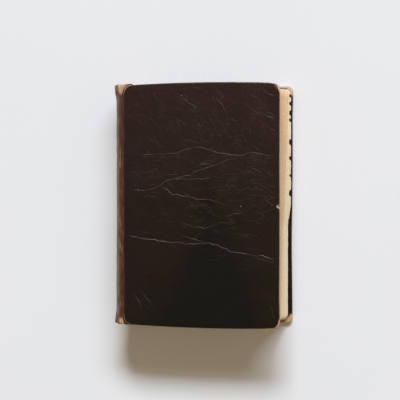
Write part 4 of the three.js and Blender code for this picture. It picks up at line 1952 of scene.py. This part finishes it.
@dataclass
class Album:
    """Builds all the visible pieces, and hangs the covers' leather, the spine, the bands and the block's leaves on
    the frame's bodies.
    """

    shape: AlbumShape
    finishes: dict[Slot, Material]
    ruled_paper: Material
    turning_leaf_count: int = 4

    def _dress(self, piece: Piece, slot: Slot) -> None:
        """Gives a piece the finish of its slot."""
        dress(piece, self.finishes[slot])

    def dress_nodes(self) -> None:
        """Gives every CAD node the material of its slot."""
        slots = {row["node"]: row["material_slot"] for row in frame["record"]["subparts"]}
        for name, node in frame["nodes"].items():
            self._dress(node, Slot(slots[name]))

    def build_covers(self) -> None:
        """Builds both covers' leather and pastedowns."""
        for side in Side:
            cover = Cover(self.shape, side)
            body = f"{side.value}_cover"
            leather = cover.leather_piece()
            self._dress(leather, Slot.COVER_LEATHER)
            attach(leather, body)
            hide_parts(f"{side.value}_cover_leather")
            LOG.info("%s: leather with its turned-in edges", leather.name)
            pastedown = cover.pastedown_piece()
            self._dress(pastedown, Slot.ENDPAPER)
            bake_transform(pastedown)
            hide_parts(f"{side.value}_pastedown")
            LOG.info("%s: pasted to the board and through the inner joint", pastedown.name)

    def build_spine(self) -> None:
        """Builds the spine's leather, both joints and both bands."""
        skin_maker = SpineSkin(self.shape)
        skin = skin_maker.surface()
        lap = skin_maker.joint_columns - 1
        spine = skin_maker.piece("spine_skin", slice(lap, -lap), skin)
        self._dress(spine, Slot.WORN_LEATHER)
        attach(spine, ROOT_BODY)
        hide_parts("spine_leather")
        LOG.info("%s: spine with its head and tail caps", spine.name)
        spans = {Side.FRONT: slice(0, lap + 1), Side.BACK: slice(-lap - 1, None)}
        for side, columns in spans.items():
            joint = skin_maker.piece(f"{side.value}_joint_skin", columns, skin)
            self._dress(joint, Slot.WORN_LEATHER)
            shift = 0 if side is Side.FRONT else self.shape.lean
            start = (self.shape.hinge_x + shift - 0.8 * MM, 0, 0)
            end = (self.shape.low.x + shift - 0.9 * MM, 0, 0)
            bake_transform(joint)
            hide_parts(f"{side.value}_joint_leather")
            LOG.info("%s: leather that bends with the cover", joint.name)
        for end in End:
            band = Band(self.shape, end).piece()
            self._dress(band, Slot.SILK)
            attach(band, ROOT_BODY)
            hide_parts(end.value)
            LOG.info("%s: silk wound on a cord", band.name)

    def build_text_block(self) -> None:
        """Builds the sections and the chipped lower leaves."""
        block = TextBlock(LeafMaker(self.shape))
        for node, piece in (block.section_pieces() | block.lower_pieces()).items():
            ruled = node == "section_01"
            paper = self.ruled_paper if ruled else self.finishes[Slot.LEAF_PAPER]
            dress(piece, paper)
            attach(piece, ROOT_BODY)
            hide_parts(node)
            LOG.info("%s: sheets of %s", piece.name, node)

    def build_turning_leaves(self) -> None:
        """Builds the leaves on their linen guards at the top of the block."""
        maker = LeafMaker(self.shape)
        numbers = range(1, self.turning_leaf_count + 1)
        names = ["front_free_endpaper", *(f"album_leaf_{number}" for number in numbers)]
        bodies = ["flyleaf", *(f"leaf_{number}" for number in numbers)]
        for order, (node, body) in enumerate(zip(names, bodies)):
            leaf = TurningLeaf(maker, node, f"guard_{order + 1}", 500 + 7 * order)
            sheet, guard = leaf.leaf_piece(), leaf.guard_piece()
            if order == 0:
                self._dress(sheet, Slot.ENDPAPER)
            else:
                dress(sheet, self.ruled_paper)
            self._dress(guard, Slot.LINEN)
            for piece, replaced in ((sheet, node), (guard, leaf.guard_node)):
                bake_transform(piece)
                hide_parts(replaced)
                LOG.info("%s: turns with %s", piece.name, body)

    def build(self) -> None:
        """Builds every sub-assembly in order."""
        self.dress_nodes()
        self.build_covers()
        self.build_spine()
        self.build_text_block()
        self.build_turning_leaves()


@dataclass(frozen=True)
class Window:
    """A soft window: its place, width and height, turn in degrees, and power."""

    name: str
    place: Triple
    size: tuple[float, float]
    turn: float
    power: float


@dataclass(frozen=True)
class Studio:
    """Floor, light and camera."""

    shape: AlbumShape
    camera_reach: float = 0.19715
    camera_along: float = 0.0266
    camera_height: float = 1.0959
    camera_tilt: tuple[float, float] = (-1.158, 14.302)
    lens: float = 112.5
    sensor: float = 36.0
    far: float = 20.0
    windows: tuple[Window, ...] = (
        Window("window_main", (1.15, 11.6, 9.1), (5.2, 3.8), 5.0, 3060.0),
        Window("window_side", (6.0, 10.4, 9.3), (5.1, 3.8), 30.0, 1200.0),
    )
    window_colour: Colour = (0.8, 0.88, 1.0)
    fill: Colour = (1.0, 0.81, 0.54)
    fill_strength: float = 0.347
    floor_half: float = 3.0

    def build(self) -> None:
        """Builds the floor, the soft window light, the fill and the camera."""
        self._floor()
        self._light()
        self._camera()
        bpy.context.scene.view_settings.view_transform = "Standard"

    def _floor(self) -> None:
        """A wide pale floor."""
        plan = MeshPlan()
        side = np.linspace(-self.floor_half, self.floor_half, 7)
        x, y = np.meshgrid(side, side)
        index = plan.add(np.stack([x, y, np.zeros_like(x)], -1))
        plan.faces += grid_faces(index)
        floor = plan.build("floor", outward=False)
        floor.data.materials.append(FloorFinish().material())

    def _light(self) -> None:
        """Far windows beyond the head of the album, and a warm even fill."""
        for window in self.windows:
            lamp = bpy.data.lights.new(window.name, "AREA")
            lamp.shape = "RECTANGLE"
            lamp.size, lamp.size_y = window.size
            lamp.energy = window.power
            lamp.color = self.window_colour
            pane = bpy.data.objects.new(window.name, lamp)
            pane.location = window.place
            pane.rotation_euler = (-math.pi / 2, 0.0, math.radians(-window.turn))
            bpy.context.scene.collection.objects.link(pane)
        world = bpy.data.worlds.new("studio")
        world.use_nodes = True
        background = world.node_tree.nodes["Background"]
        background.inputs["Color"].default_value = (*self.fill, 1.0)
        background.inputs["Strength"].default_value = self.fill_strength
        bpy.context.scene.world = world

    def _camera(self) -> None:
        """The camera, nearly overhead on the fore-edge side."""
        data = bpy.data.cameras.new("camera")
        data.lens = self.lens
        data.sensor_width = self.sensor
        data.clip_end = self.far
        camera = bpy.data.objects.new("camera", data)
        across = self.shape.high.x + self.camera_reach
        camera.location = (across, self.camera_along, self.camera_height)
        about_x, about_y = self.camera_tilt
        camera.rotation_euler = (math.radians(about_x), math.radians(about_y), 0.0)
        bpy.context.scene.collection.objects.link(camera)
        bpy.context.scene.camera = camera


def main() -> None:
    """Builds the studio and the album."""
    logging.basicConfig(level=logging.INFO, format="%(name)s: %(message)s")
    shape = AlbumShape.from_frame()
    Studio(shape).build()
    ruled_paper = PaperFinish("ruled_paper", ruled=True).material()
    Album(shape, build_finishes(), ruled_paper).build()


if __name__ == "__main__":
    main()
